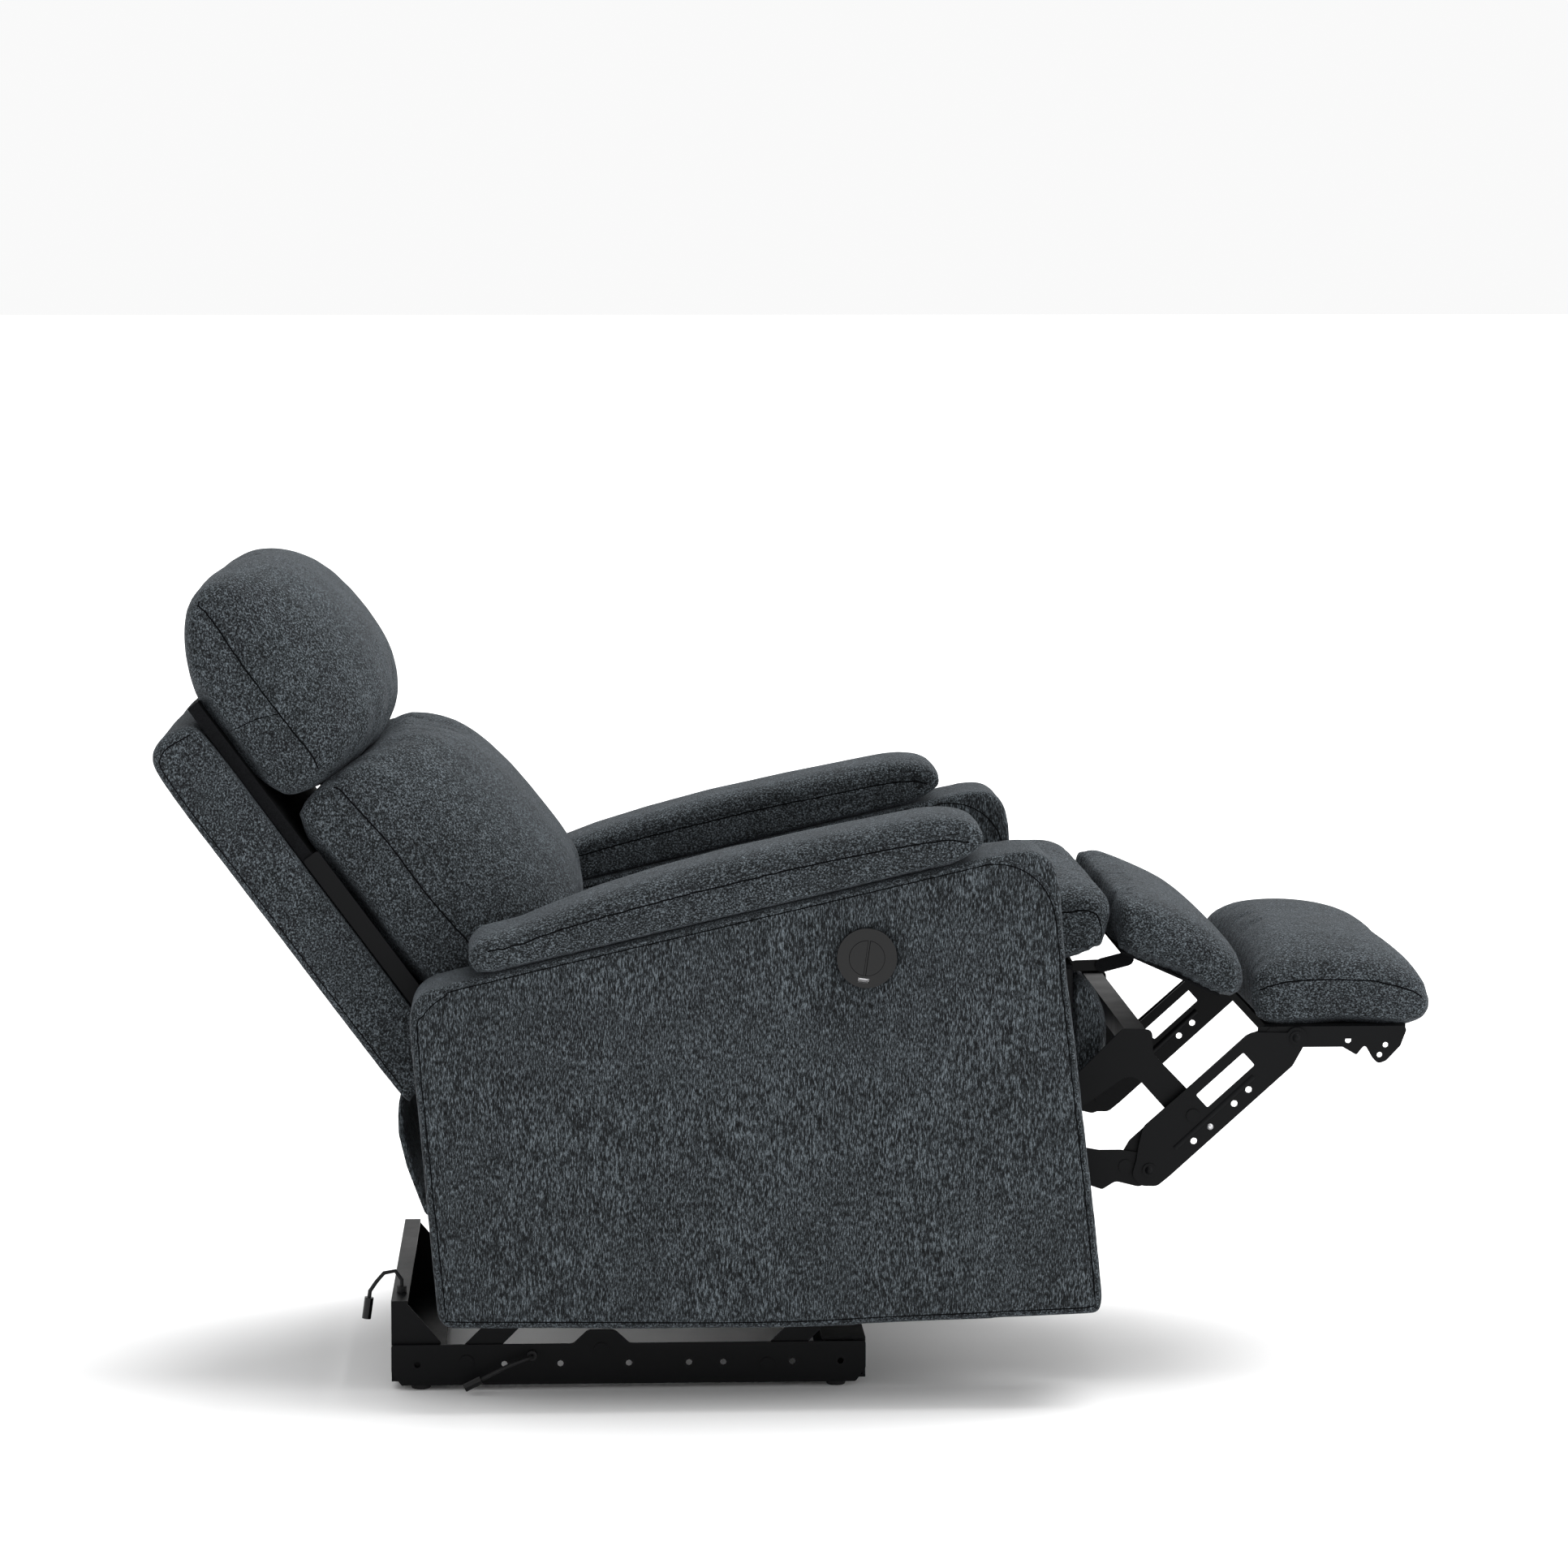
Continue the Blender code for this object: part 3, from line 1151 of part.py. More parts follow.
def drive_fork(parent):
    """Slider over the rail, with two arms out to the torque tube's lugs."""
    half = ACTUATOR_RAIL_WIDTH / 2 + 0.0006
    outer = FORK_Y + 0.0015
    tall = ACTUATOR_RAIL_HEIGHT / 2
    profile = [
        (-outer, -tall - 0.003), (-half, -tall - 0.003), (-half, tall + 0.0006),
        (half, tall + 0.0006), (half, -tall - 0.003), (outer, -tall - 0.003),
        (outer, tall + 0.006), (-outer, tall + 0.006),
    ]
    start = SLIDER_PLACE - SLIDER_LENGTH / 2
    slider = channel_profile("drive_fork", start, start + SLIDER_LENGTH, profile, parent,
                             black_steel())
    for side, word in ((-1, "right"), (1, "left")):
        arm = slot_outline(on_actuator(start + SLIDER_LENGTH - 0.012), DRIVE_PIN, 0.0095, 6)
        hole = circle(*DRIVE_PIN, PIN_RADIUS, 10)
        add(slider, plate(f"fork_arm_{word}", arm, side * FORK_Y, STEEL - 0.0002, parent, None,
                          [hole]))
    return slider


# ---------------------------------------------------------------- leads
def lead_route(points, spacing):
    """A smooth line through the route's own points, read every few millimetres."""
    knots = [Vector(point) for point in points]
    knots = [2 * knots[0] - knots[1], *knots, 2 * knots[-1] - knots[-2]]
    line = []
    for a, b, c, d in zip(knots, knots[1:], knots[2:], knots[3:]):
        steps = max(1, round((c - b).length / spacing))
        for step in range(steps):
            t = step / steps
            bend = 2 * b + (c - a) * t + (2 * a - 5 * b + 4 * c - d) * t * t
            line.append((bend + (3 * b - a - 3 * c + d) * t ** 3) / 2)
    line.append(knots[-2])
    return line


def lead(name, start, leaving, route, end, arriving, parent):
    """A lead that leaves and arrives straight, by way of the route's points."""
    straight = 3 * LEAD_RADIUS
    first = Vector(start) + Vector(leaving).normalized() * straight
    last = Vector(end) - Vector(arriving).normalized() * straight
    points = [start, first, *route, last, end]
    curve = bpy.data.curves.new(name, "CURVE")
    curve.dimensions = "3D"
    curve.bevel_depth = LEAD_RADIUS
    curve.bevel_resolution = 2
    curve.use_fill_caps = True
    line = lead_route(points, 3 * 2 * LEAD_RADIUS)
    spline = curve.splines.new("POLY")
    spline.points.add(len(line) - 1)
    for point, place in zip(spline.points, line):
        point.co = (*place, 1.0)
    made = bpy.data.objects.new(name, curve)
    curve.materials.append(rubber())
    parts.objects.link(made)
    hang(made, parent, Vector((0, 0, 0)))


def barrel(name, start, heading, radius, length, parent, skin):
    """A round plug or bush that starts at a place and points along a heading."""
    direction = Vector(heading).normalized()
    shape = bmesh.new()
    bmesh.ops.create_cone(shape, cap_ends=True, segments=16, radius1=radius, radius2=radius,
                          depth=length)
    mesh = bpy.data.meshes.new(name)
    shape.to_mesh(mesh)
    shape.free()
    middle = Vector(start) + direction * length / 2
    made = mesh_object(name, mesh, parent, middle, skin)
    made.rotation_euler = direction.to_track_quat("Z", "Y").to_euler()
    return made


def power_lead(chair):
    """Lead from a bush in the rear crossbar, looped over to a round connector."""
    y = -0.200
    top = REAR_BAR_HEIGHT + TOUCH
    bush = (RAIL_REAR + 0.011, y, top)
    barrel("power_lead_bush", bush, (0, 0, 1), GROMMET_RADIUS, 0.007, chair, rubber())
    start = (bush[0], y, top + 0.007 + TOUCH)
    end = Vector((-0.2440, y - 0.004, 0.1020))
    heading = Vector((-0.14, 0, -1)).normalized()
    route = [(-0.2125, y - 0.001, 0.1330), (-0.2260, y - 0.003, 0.1310)]
    lead("power_lead", start, (0, 0, 1), route, end, heading, chair)
    barrel("power_lead_plug", end + heading * TOUCH, heading, PLUG_RADIUS, PLUG_LENGTH,
           chair, plastic())


def control_lead(chair):
    """Short second lead from a bush in the near rail down to a plug on the floor."""
    face = -(OUTER_PLATE + STEEL / 2)
    bush = (-0.048, face - TOUCH, 0.0420)
    barrel("control_lead_bush", bush, (0, -1, 0), GROMMET_RADIUS, 0.006, chair, rubber())
    start = (bush[0], bush[1] - 0.006 - TOUCH, bush[2])
    end = Vector((-0.1080, -0.2850, 0.0180))
    heading = Vector((-0.86, 0, -0.42)).normalized()
    route = [(-0.0560, -0.2810, 0.0410), (-0.0760, -0.2850, 0.0340)]
    lead("control_lead", start, (0, -1, 0), route, end, heading, chair)
    barrel("control_lead_plug", end + heading * TOUCH, heading, PLUG_RADIUS, 0.022,
           chair, plastic())


# ---------------------------------------------------------------- assembly
def build_seat_body(seat):
    rail_top = seat_frame(seat)
    pad_hinge_bracket(seat, rail_top)
    seat_cushion(seat)
    valance(seat)
    for side, word in ((-1, "right"), (1, "left")):
        seat_plate(side, word, seat)
        side_panel(side, word, seat)
        arm_pad(side, word, seat)
    switch_housing(seat)
    usb_port(seat)
    half_moon("button_open", 1, pivot("button_open_slide", SWITCH, seat))
    half_moon("button_close", -1, pivot("button_close_slide", SWITCH, seat))


def build_back(seat):
    back = pivot("back_hinge", BACK_HINGE, seat)
    back_frame(back)
    outside_back(back)
    back_skirt(back)
    headrest_cushion(back)
    lumbar_cushion(back)
    for side, word in ((-1, "right"), (1, "left")):
        back_bracket(side, word, back)


def build_footrest(seat):
    lower = pivot("lower_link_hinge", LOWER_PIVOT, seat)
    knee = pivot("knee_hinge", KNEE, lower)
    twin_foot = pivot("twin_link_hinge", twin(KNEE), lower)
    ankle = pivot("ankle_hinge", ANKLE, knee)
    cross = pivot("cross_link_hinge", cross_link_pivot(), seat)
    for side, word in ((-1, "right"), (1, "left")):
        lower_link(side, word, lower)
        outer_link(side, word, knee)
        twin_link(side, word, twin_foot)
        cross_link(side, word, cross)
        ottoman_bracket(side, word, ankle)
    torque_tube(cross)
    ottoman(ankle)
    calf_pad(pivot("calf_pad_hinge", PAD_HINGE, seat))


def build_actuator(seat):
    mount = pivot("actuator_hinge", ACTUATOR_PIVOT, seat)
    gear_motor(mount)
    actuator_rail(mount)
    drive_fork(pivot("fork_slide", on_actuator(SLIDER_PLACE), mount))


def centre_chair(chair):
    """Stand the chair's middle over the world's origin."""
    bpy.context.view_layer.update()
    graph = bpy.context.evaluated_depsgraph_get()
    lows = []
    highs = []
    for item in parts.objects:
        if item.type == "EMPTY" or "_lead" in item.name:
            continue
        shown = item.evaluated_get(graph)
        spread = [(item.matrix_world @ Vector(corner)).x for corner in shown.bound_box]
        lows.append(min(spread))
        highs.append(max(spread))
    chair.location.x = -(min(lows) + max(highs)) / 2
    print("chair origin at x =", round(chair.location.x, 6))


def main():
    global parts, cutters
    clear_scene()
    parts = new_collection("recliner_armchair")
    cutters = new_collection("cutters")
    chair = pivot("chair", (0.0, 0.0))
    build_base(chair)
    power_lead(chair)
    control_lead(chair)
    rear_swing = pivot("rear_swing_hinge", REAR_SWING_FOOT, chair)
    front_swing = pivot("front_swing_hinge", FRONT_SWING_FOOT, chair)
    for side, word in ((-1, "right"), (1, "left")):
        swing_link(f"rear_swing_link_{word}", REAR_SWING_FOOT, side, rear_swing)
        swing_link(f"front_swing_link_{word}", FRONT_SWING_FOOT, side, front_swing)
    seat = pivot("seat_carry_hinge", swing_top(REAR_SWING_FOOT), rear_swing)
    build_seat_body(seat)
    build_back(seat)
    build_footrest(seat)
    build_actuator(seat)
    centre_chair(chair)
    print("cross link pivot", [round(v, 6) for v in cross_link_pivot()],
          "turn", round(degrees(cross_link_turn()), 3))
    print("actuator angle", round(degrees(actuator_angle()), 4),
          "travel", round(actuator_travel(), 5))


if __name__ == "__main__":
    main()
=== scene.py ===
"""Looks of a power recliner armchair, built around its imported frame."""
from math import cos, pi, radians, sin

import bmesh
import bpy
import numpy as np
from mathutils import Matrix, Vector, noise
from mathutils.bvhtree import BVHTree


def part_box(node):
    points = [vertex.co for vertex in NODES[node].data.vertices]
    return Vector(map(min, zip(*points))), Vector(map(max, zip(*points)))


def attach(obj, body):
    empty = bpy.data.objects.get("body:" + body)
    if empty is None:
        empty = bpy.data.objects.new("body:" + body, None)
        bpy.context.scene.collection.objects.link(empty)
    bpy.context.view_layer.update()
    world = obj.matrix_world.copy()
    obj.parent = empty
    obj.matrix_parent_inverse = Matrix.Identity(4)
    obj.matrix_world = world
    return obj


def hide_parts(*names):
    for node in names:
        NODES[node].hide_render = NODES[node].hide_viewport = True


bl_info = {
    "name": "Recliner armchair upholstery",
    "version": (1, 0, 0),
    "blender": (4, 5, 0),
    "location": "View3D > Sidebar > Recliner",
    "description": "Upholsters and finishes a power recliner armchair around its steel frame",
    "category": "Object",
}

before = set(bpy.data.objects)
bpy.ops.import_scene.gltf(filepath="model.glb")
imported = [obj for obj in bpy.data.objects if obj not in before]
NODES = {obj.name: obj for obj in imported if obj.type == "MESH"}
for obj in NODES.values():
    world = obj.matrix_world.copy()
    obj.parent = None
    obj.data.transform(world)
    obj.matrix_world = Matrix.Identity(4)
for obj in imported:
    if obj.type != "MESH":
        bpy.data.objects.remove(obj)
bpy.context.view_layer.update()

# ------------------------------------------------------------------ places read from the frame
RAIL_REAR = 0.216           # the floor rails start this far behind the chair's drawing origin
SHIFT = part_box("base_rail_right")[0][0] + RAIL_REAR
PANEL_FACE = -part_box("side_panel_right")[0][1]
BACK_LEAN = radians(36.3)
CUSHION_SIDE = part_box("lumbar_cushion")[1][1]
SEAT_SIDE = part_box("seat_cushion")[1][1]
FOOT_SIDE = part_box("ottoman_cushion")[1][1]
PIN_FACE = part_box("outer_link_left")[1][1]
PIN_HEAD = 0.0015           # how far a rivet head stands off its plate
RIB_DEPTH = 0.0025          # how far a rib's middle lies under the plate's face
LINK_FACE = PIN_FACE - PIN_HEAD - RIB_DEPTH
SIDES = (("right", -1), ("left", 1))
WELT_INSET = 0.009          # the seam round an arm box runs this far inside its outline
PIPING_INSET = 0.0045       # and the piping on its rim this far
ARM_BOX_WIDTH = 0.130       # between the outer and inner seams of an arm box
SEAM_STEP = 0.006           # a seam is drawn with a point this often
STITCH_STEP = 0.004         # and a row of stitches this often
CORD_RADIUS = 0.0025        # both leads are as thick as each other
EXIT_GAP = 0.0003           # a lead starts this far clear of its bush
SWELL_FRAMES = 20           # a cover swells for this many frames of cloth
FLOOR_REACH = 200.0         # half the studio floor's width
CAMERA_HEIGHT = 1.316       # metres above the floor
CAMERA_AWAY = 5.895         # metres to the right of the chair's middle
CAMERA_LENS = 109.9         # millimetres, on a sensor of the next width
CAMERA_SENSOR = 36.0
CAMERA_TILT = radians(84.04)
CAMERA_TURN = radians(-2.58)


def at(x, z, y=0.0):
    """A drawing place of the chair, in the frame."""
    return Vector((x + SHIFT, y, z))


def on_back(depth, height, y=0.0):
    """A place in the back's own lean: depth through it, height up it."""
    x = depth * cos(BACK_LEAN) - height * sin(BACK_LEAN)
    z = depth * sin(BACK_LEAN) + height * cos(BACK_LEAN)
    return at(x, z, y)


# ------------------------------------------------------------------ what a user may change
class RECLINER_PG_cloth(bpy.types.PropertyGroup):
    colour: bpy.props.FloatVectorProperty(
        name="Cloth colour", description="Middle tone of the chenille", subtype="COLOR",
        default=(0.0205, 0.0240, 0.0266))
    yarn: bpy.props.FloatProperty(
        name="Yarn size", description="Width of one yarn of the weave", unit="LENGTH",
        default=0.0014)
    inflate: bpy.props.FloatProperty(
        name="Filling pressure", description="Pressure that swells each cushion's cover", default=4.0)
    swell: bpy.props.FloatProperty(
        name="Most swell", description="Furthest that a cover may move as it swells", unit="LENGTH",
        default=0.006)
    stitch: bpy.props.FloatProperty(
        name="Stitch length", description="Length of one topstitch", unit="LENGTH", default=0.0055)


class RECLINER_PG_steel(bpy.types.PropertyGroup):
    colour: bpy.props.FloatVectorProperty(
        name="Paint colour", description="Black powder coat of the mechanism", subtype="COLOR",
        default=(0.0022, 0.0024, 0.0028))
    roughness: bpy.props.FloatProperty(
        name="Paint roughness", description="How dull the powder coat is", default=0.42)


class RECLINER_PG_studio(bpy.types.PropertyGroup):
    floor: bpy.props.FloatVectorProperty(
        name="Floor colour", description="Pale studio floor", subtype="COLOR",
        default=(0.90, 0.90, 0.90))
    key: bpy.props.FloatProperty(
        name="Key light", description="Strength of the wide soft light from above", default=3.6)
    fill: bpy.props.FloatProperty(
        name="Ambient light", description="Brightness of the white surround", default=0.95)


def cloth():
    return bpy.context.scene.recliner_cloth


def steel():
    return bpy.context.scene.recliner_steel


def studio():
    return bpy.context.scene.recliner_studio


# ------------------------------------------------------------------ shader groups
def new_group(name, inputs, outputs):
    """An empty shader group with its sockets."""
    tree = bpy.data.node_groups.new(name, "ShaderNodeTree")
    for label, kind, value in inputs:
        socket = tree.interface.new_socket(label, in_out="INPUT", socket_type=kind)
        if value is not None:
            socket.default_value = value
    for label, kind in outputs:
        tree.interface.new_socket(label, in_out="OUTPUT", socket_type=kind)
    return tree, tree.nodes.new("NodeGroupInput"), tree.nodes.new("NodeGroupOutput")


def node(tree, kind, links=(), **values):
    """One shader node with its settings, and its inputs joined or set."""
    made = tree.nodes.new(kind)
    for name, value in values.items():
        setattr(made, name, value)
    for socket, source in links:
        if isinstance(source, bpy.types.NodeSocket):
            tree.links.new(source, made.inputs[socket])
        else:
            made.inputs[socket].default_value = source
    return made


def maths(tree, operation, a, b=0.0, c=0.0):
    made = node(tree, "ShaderNodeMath", [(0, a), (1, b), (2, c)], operation=operation)
    return made.outputs[0]


def chenille_group():
    """Soft yarns across and along, each of its own shade, with fuzzy flecks."""
    fleck_share, run_share = 0.30, 0.90
    cloud_share, streak_share = 0.10, 0.12
    contrast, darkening = 3.0, -1.63
    float_, vector = "NodeSocketFloat", "NodeSocketVector"
    tree, given, out = new_group(
        "chenille", [("Vector", vector, None), ("Yarns", float_, 600.0), ("Run", vector, (1, 1, 0.2))],
        [("Shade", float_), ("Height", float_), ("Fuzz", float_)])
    place = given.outputs["Vector"]
    drawn = node(tree, "ShaderNodeVectorMath", [(0, place), (1, given.outputs["Run"])],
                 operation="MULTIPLY").outputs[0]
    yarns = given.outputs["Yarns"]
    run = node(tree, "ShaderNodeTexNoise", [("Vector", drawn), ("Scale", yarns), ("Detail", 2.0),
                                            ("Roughness", 0.65)])
    fleck = node(tree, "ShaderNodeTexNoise",
                 [("Vector", place), ("Scale", maths(tree, "MULTIPLY", yarns, 1.25)),
                  ("Detail", 3.0), ("Roughness", 0.7)])
    cloud = node(tree, "ShaderNodeTexNoise", [("Vector", place), ("Scale", 16.0), ("Detail", 4.0),
                                              ("Roughness", 0.6)])
    streak = node(tree, "ShaderNodeTexNoise",
                  [("Vector", drawn), ("Scale", maths(tree, "MULTIPLY", yarns, 0.24)),
                   ("Detail", 3.0)])
    fine = maths(tree, "MULTIPLY_ADD", fleck.outputs[0], fleck_share,
                 maths(tree, "MULTIPLY", run.outputs[0], run_share))
    broad = maths(tree, "MULTIPLY_ADD", cloud.outputs[0], cloud_share,
                  maths(tree, "MULTIPLY", streak.outputs[0], streak_share))
    shade = maths(tree, "MULTIPLY_ADD", maths(tree, "ADD", fine, broad), contrast, darkening)
    tree.links.new(shade, out.inputs["Shade"])
    tree.links.new(fine, out.inputs["Height"])
    tree.links.new(cloud.outputs[0], out.inputs["Fuzz"])
    return tree


def wear_group():
    """Orange peel and dust of a powder coat, with a little shine on handled places."""
    float_, vector = "NodeSocketFloat", "NodeSocketVector"
    tree, given, out = new_group(
        "coat_wear", [("Vector", vector, None), ("Grain", float_, 900.0), ("Dust", float_, 0.3)],
        [("Tone", float_), ("Height", float_), ("Dullness", float_)])
    place = given.outputs["Vector"]
    peel = node(tree, "ShaderNodeTexNoise", [("Vector", place), ("Scale", given.outputs["Grain"]),
                                             ("Detail", 2.0)])
    smear = node(tree, "ShaderNodeTexNoise", [("Vector", place), ("Scale", 22.0), ("Detail", 5.0),
                                              ("Roughness", 0.65)])
    dusty = maths(tree, "MULTIPLY", smear.outputs[0], given.outputs["Dust"])
    tree.links.new(dusty, out.inputs["Tone"])
    tree.links.new(peel.outputs[0], out.inputs["Height"])
    tree.links.new(maths(tree, "MULTIPLY_ADD", smear.outputs[0], 0.5, 0.1), out.inputs["Dullness"])
    return tree


GROUPS = {}


def group(name, maker):
    if name not in GROUPS:
        GROUPS[name] = maker()
    return GROUPS[name]


def blank_material(name, viewport):
    """A node material with its Principled shader and Object coordinates."""
    skin = bpy.data.materials.new(name)
    skin.use_nodes = True
    skin.diffuse_color = (*viewport, 1.0)
    tree = skin.node_tree
    shader = tree.nodes["Principled BSDF"]
    place = tree.nodes.new("ShaderNodeTexCoord").outputs["Object"]
    return skin, tree, shader, place


def use_group(tree, group_tree, links):
    made = tree.nodes.new("ShaderNodeGroup")
    made.node_tree = group_tree
    for socket, source in links:
        if isinstance(source, bpy.types.NodeSocket):
            tree.links.new(source, made.inputs[socket])
        else:
            made.inputs[socket].default_value = source
    return made


def ramp(tree, factor, stops):
    made = node(tree, "ShaderNodeValToRGB", [(0, factor)])
    edge = made.color_ramp.elements
    while len(edge) < len(stops):
        edge.new(0.5)
    for element, (place, colour) in zip(edge, stops):
        element.position = place
        element.color = (*colour, 1.0)
    return made.outputs[0]


def bump(tree, height, strength, distance, shader):
    made = node(tree, "ShaderNodeBump", [("Height", height), ("Strength", strength),
                                         ("Distance", distance)])
    tree.links.new(made.outputs[0], shader.inputs["Normal"])


SKINS = {}


def chenille(run="up"):
    """Charcoal chenille, its yarns running up the piece, along it or across it."""
    key = "chenille_" + run
    if key in SKINS:
        return SKINS[key]
    base = Vector(cloth().colour)
    skin, tree, shader, place = blank_material(key, base)
    runs = {"up": (1.0, 1.0, 0.24), "along": (0.60, 1.0, 0.70), "lean": (0.70, 1.0, 0.55)}
    weave = use_group(tree, group("chenille", chenille_group),
                      [("Vector", place), ("Yarns", 1.0 / cloth().yarn), ("Run", runs[run])])
    stops = [(0.0, base * 0.10), (0.30, base * 0.38), (0.50, base * 0.95), (0.70, base * 2.3),
             (1.0, base * 5.5)]
    tree.links.new(ramp(tree, weave.outputs["Shade"], stops), shader.inputs["Base Color"])
    dull = maths(tree, "MULTIPLY_ADD", weave.outputs["Fuzz"], 0.15, 0.80)
    tree.links.new(dull, shader.inputs["Roughness"])
    shader.inputs["Sheen Weight"].default_value = 0.05
    shader.inputs["Sheen Roughness"].default_value = 0.45
    shader.inputs["Sheen Tint"].default_value = (0.80, 0.88, 1.0, 1.0)
    shader.inputs["Specular IOR Level"].default_value = 0.12
    bump(tree, weave.outputs["Height"], 0.55, 0.0022, shader)
    SKINS[key] = skin
    return skin


def coated(key, colour, roughness, metallic=0.0, grain=900.0, dust=0.25, depth=0.0002, shine=0.3):
    """A hard finish: paint, plastic, rubber or bare steel."""
    if key in SKINS:
        return SKINS[key]
    base = Vector(colour)
    skin, tree, shader, place = blank_material(key, base)
    wear = use_group(tree, group("coat_wear", wear_group),
                     [("Vector", place), ("Grain", grain), ("Dust", dust)])
    pale = base * 1.2 + Vector((0.002, 0.0021, 0.0023))
    tree.links.new(ramp(tree, wear.outputs["Tone"], [(0.0, base), (0.55, pale)]),
                   shader.inputs["Base Color"])
    dull = maths(tree, "MULTIPLY_ADD", wear.outputs["Dullness"], 0.35, roughness - 0.12)
    tree.links.new(dull, shader.inputs["Roughness"])
    shader.inputs["Metallic"].default_value = metallic
    shader.inputs["Specular IOR Level"].default_value = shine
    bump(tree, wear.outputs["Height"], 0.25, depth, shader)
    SKINS[key] = skin
    return skin


def paint():
    return coated("powder_coat", steel().colour, steel().roughness, grain=1100.0, shine=0.09)


def bare_steel():
    return coated("bare_steel", (0.46, 0.46, 0.47), 0.34, metallic=1.0, dust=0.4)


def black_plastic():
    return coated("switch_plastic", (0.0022, 0.0023, 0.0026), 0.24, dust=0.10, grain=1600.0,
                  shine=0.25)


def soft_rubber():
    return coated("soft_rubber", (0.005, 0.005, 0.0055), 0.60, dust=0.3)


def nylon():
    return coated("grey_nylon", (0.035, 0.036, 0.038), 0.5)


def dust_cloth():
    """Thin black lining, a fine open weave."""
    if "dust_cloth" in SKINS:
        return SKINS["dust_cloth"]
    base = Vector((0.0035, 0.0037, 0.0042))
    skin, tree, shader, place = blank_material("dust_cloth", base)
    weave = use_group(tree, group("chenille", chenille_group),
                      [("Vector", place), ("Yarns", 1100.0), ("Run", (1.0, 0.5, 1.0))])
    tree.links.new(ramp(tree, weave.outputs["Shade"], [(0.0, base * 0.6), (1.0, base * 2.2)]),
                   shader.inputs["Base Color"])
    shader.inputs["Roughness"].default_value = 0.95
    shader.inputs["Specular IOR Level"].default_value = 0.08
    bump(tree, weave.outputs["Height"], 0.3, 0.0008, shader)
    SKINS["dust_cloth"] = skin
    return skin


def thread():
    return coated("thread", (0.014, 0.016, 0.018), 0.75, dust=0.2, shine=0.1)


def seam_shadow():
    return coated("seam_shadow", (0.002, 0.0022, 0.0025), 0.95, dust=0.1, shine=0.02)


# ------------------------------------------------------------------ mesh helpers
def show(name, mesh, skin, body, smooth=True):
    """Put a finished mesh in the scene as a piece that rides on a body."""
    mesh.name = name
    mesh.materials.clear()
    mesh.materials.append(skin)
    if smooth:
        mesh.shade_smooth()
    made = bpy.data.objects.new(name, mesh)
    bpy.context.scene.collection.objects.link(made)
    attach(made, body)
    return made


def baked(item):
    """The object's mesh with its modifiers and curve settings applied."""
    graph = bpy.context.evaluated_depsgraph_get()
    graph.update()
    return bpy.data.meshes.new_from_object(item.evaluated_get(graph))


def worked(mesh, settings):
    """A mesh after a list of modifiers, each (kind, values)."""
    item = bpy.data.objects.new("bench", mesh)
    bpy.context.scene.collection.objects.link(item)
    for kind, values in settings:
        step = item.modifiers.new(kind.lower(), kind)
        for name, value in values.items():
            setattr(step, name, value)
    result = baked(item)
    bpy.data.objects.remove(item)
    return result


def frame_mesh(name):
    """A merged copy of a frame node's mesh."""
    shape = bmesh.new()
    shape.from_mesh(NODES[name].data)
    bmesh.ops.remove_doubles(shape, verts=shape.verts, dist=2e-5)
    mesh = bpy.data.meshes.new(name + "_copy")
    shape.to_mesh(mesh)
    shape.free()
    return mesh


def points_of(mesh):
    places = np.empty(len(mesh.vertices) * 3)
    mesh.vertices.foreach_get("co", places)
    return places.reshape(-1, 3)


def normals_of(mesh):
    normals = np.empty(len(mesh.vertices) * 3)
    mesh.vertex_normals.foreach_get("vector", normals)
    return normals.reshape(-1, 3)


def put_points(mesh, places):
    mesh.vertices.foreach_set("co", np.ascontiguousarray(places).ravel())
    mesh.update()


def swell(mesh, pressure, most):
    """Blow a closed cover up with Blender's cloth, then limit how far it went."""
    before = points_of(mesh)
    item = bpy.data.objects.new("cover", mesh)
    bpy.context.scene.collection.objects.link(item)
    step = item.modifiers.new("cover", "CLOTH")
    step.settings.quality = 4
    step.settings.mass = 0.2
    step.settings.use_pressure = True
    step.settings.uniform_pressure_force = pressure
    step.settings.tension_stiffness = 20
    step.settings.compression_stiffness = 20
    step.settings.shear_stiffness = 8
    step.settings.bending_stiffness = 1.0
    step.settings.effector_weights.gravity = 0
    step.point_cache.frame_start = 1
    step.point_cache.frame_end = SWELL_FRAMES
    for number in range(1, SWELL_FRAMES + 1):
        bpy.context.scene.frame_set(number)
    after = points_of(baked(item))
    bpy.data.objects.remove(item)
    bpy.context.scene.frame_set(1)
    moved = after - before
    length = np.linalg.norm(moved, axis=1, keepdims=True)
    moved *= np.minimum(1.0, most / np.maximum(length, 1e-9))
    put_points(mesh, before + moved)
    return mesh


def distance_to_line(places, line):
    """Shortest distance from each side-view place to a polyline."""
    best = np.full(len(places), 9.0)
    for start, end in zip(line, line[1:]):
        a = np.array(start)
        run = np.array(end) - a
        t = np.clip(((places - a) @ run) / (run @ run), 0, 1)
        gap = np.linalg.norm(places - (a + t[:, None] * run), axis=1)
        best = np.minimum(best, gap)
    return best


def rumple(places, scale, seed):
    """Smooth noise at each place, between about -1 and 1."""
    offset = Vector((seed * 3.1, seed * 1.7, seed * 2.3))
    return np.array([noise.noise(Vector(place) * scale + offset) for place in places])


def side_view(vectors):
    return [(v.x, v.z) for v in vectors]


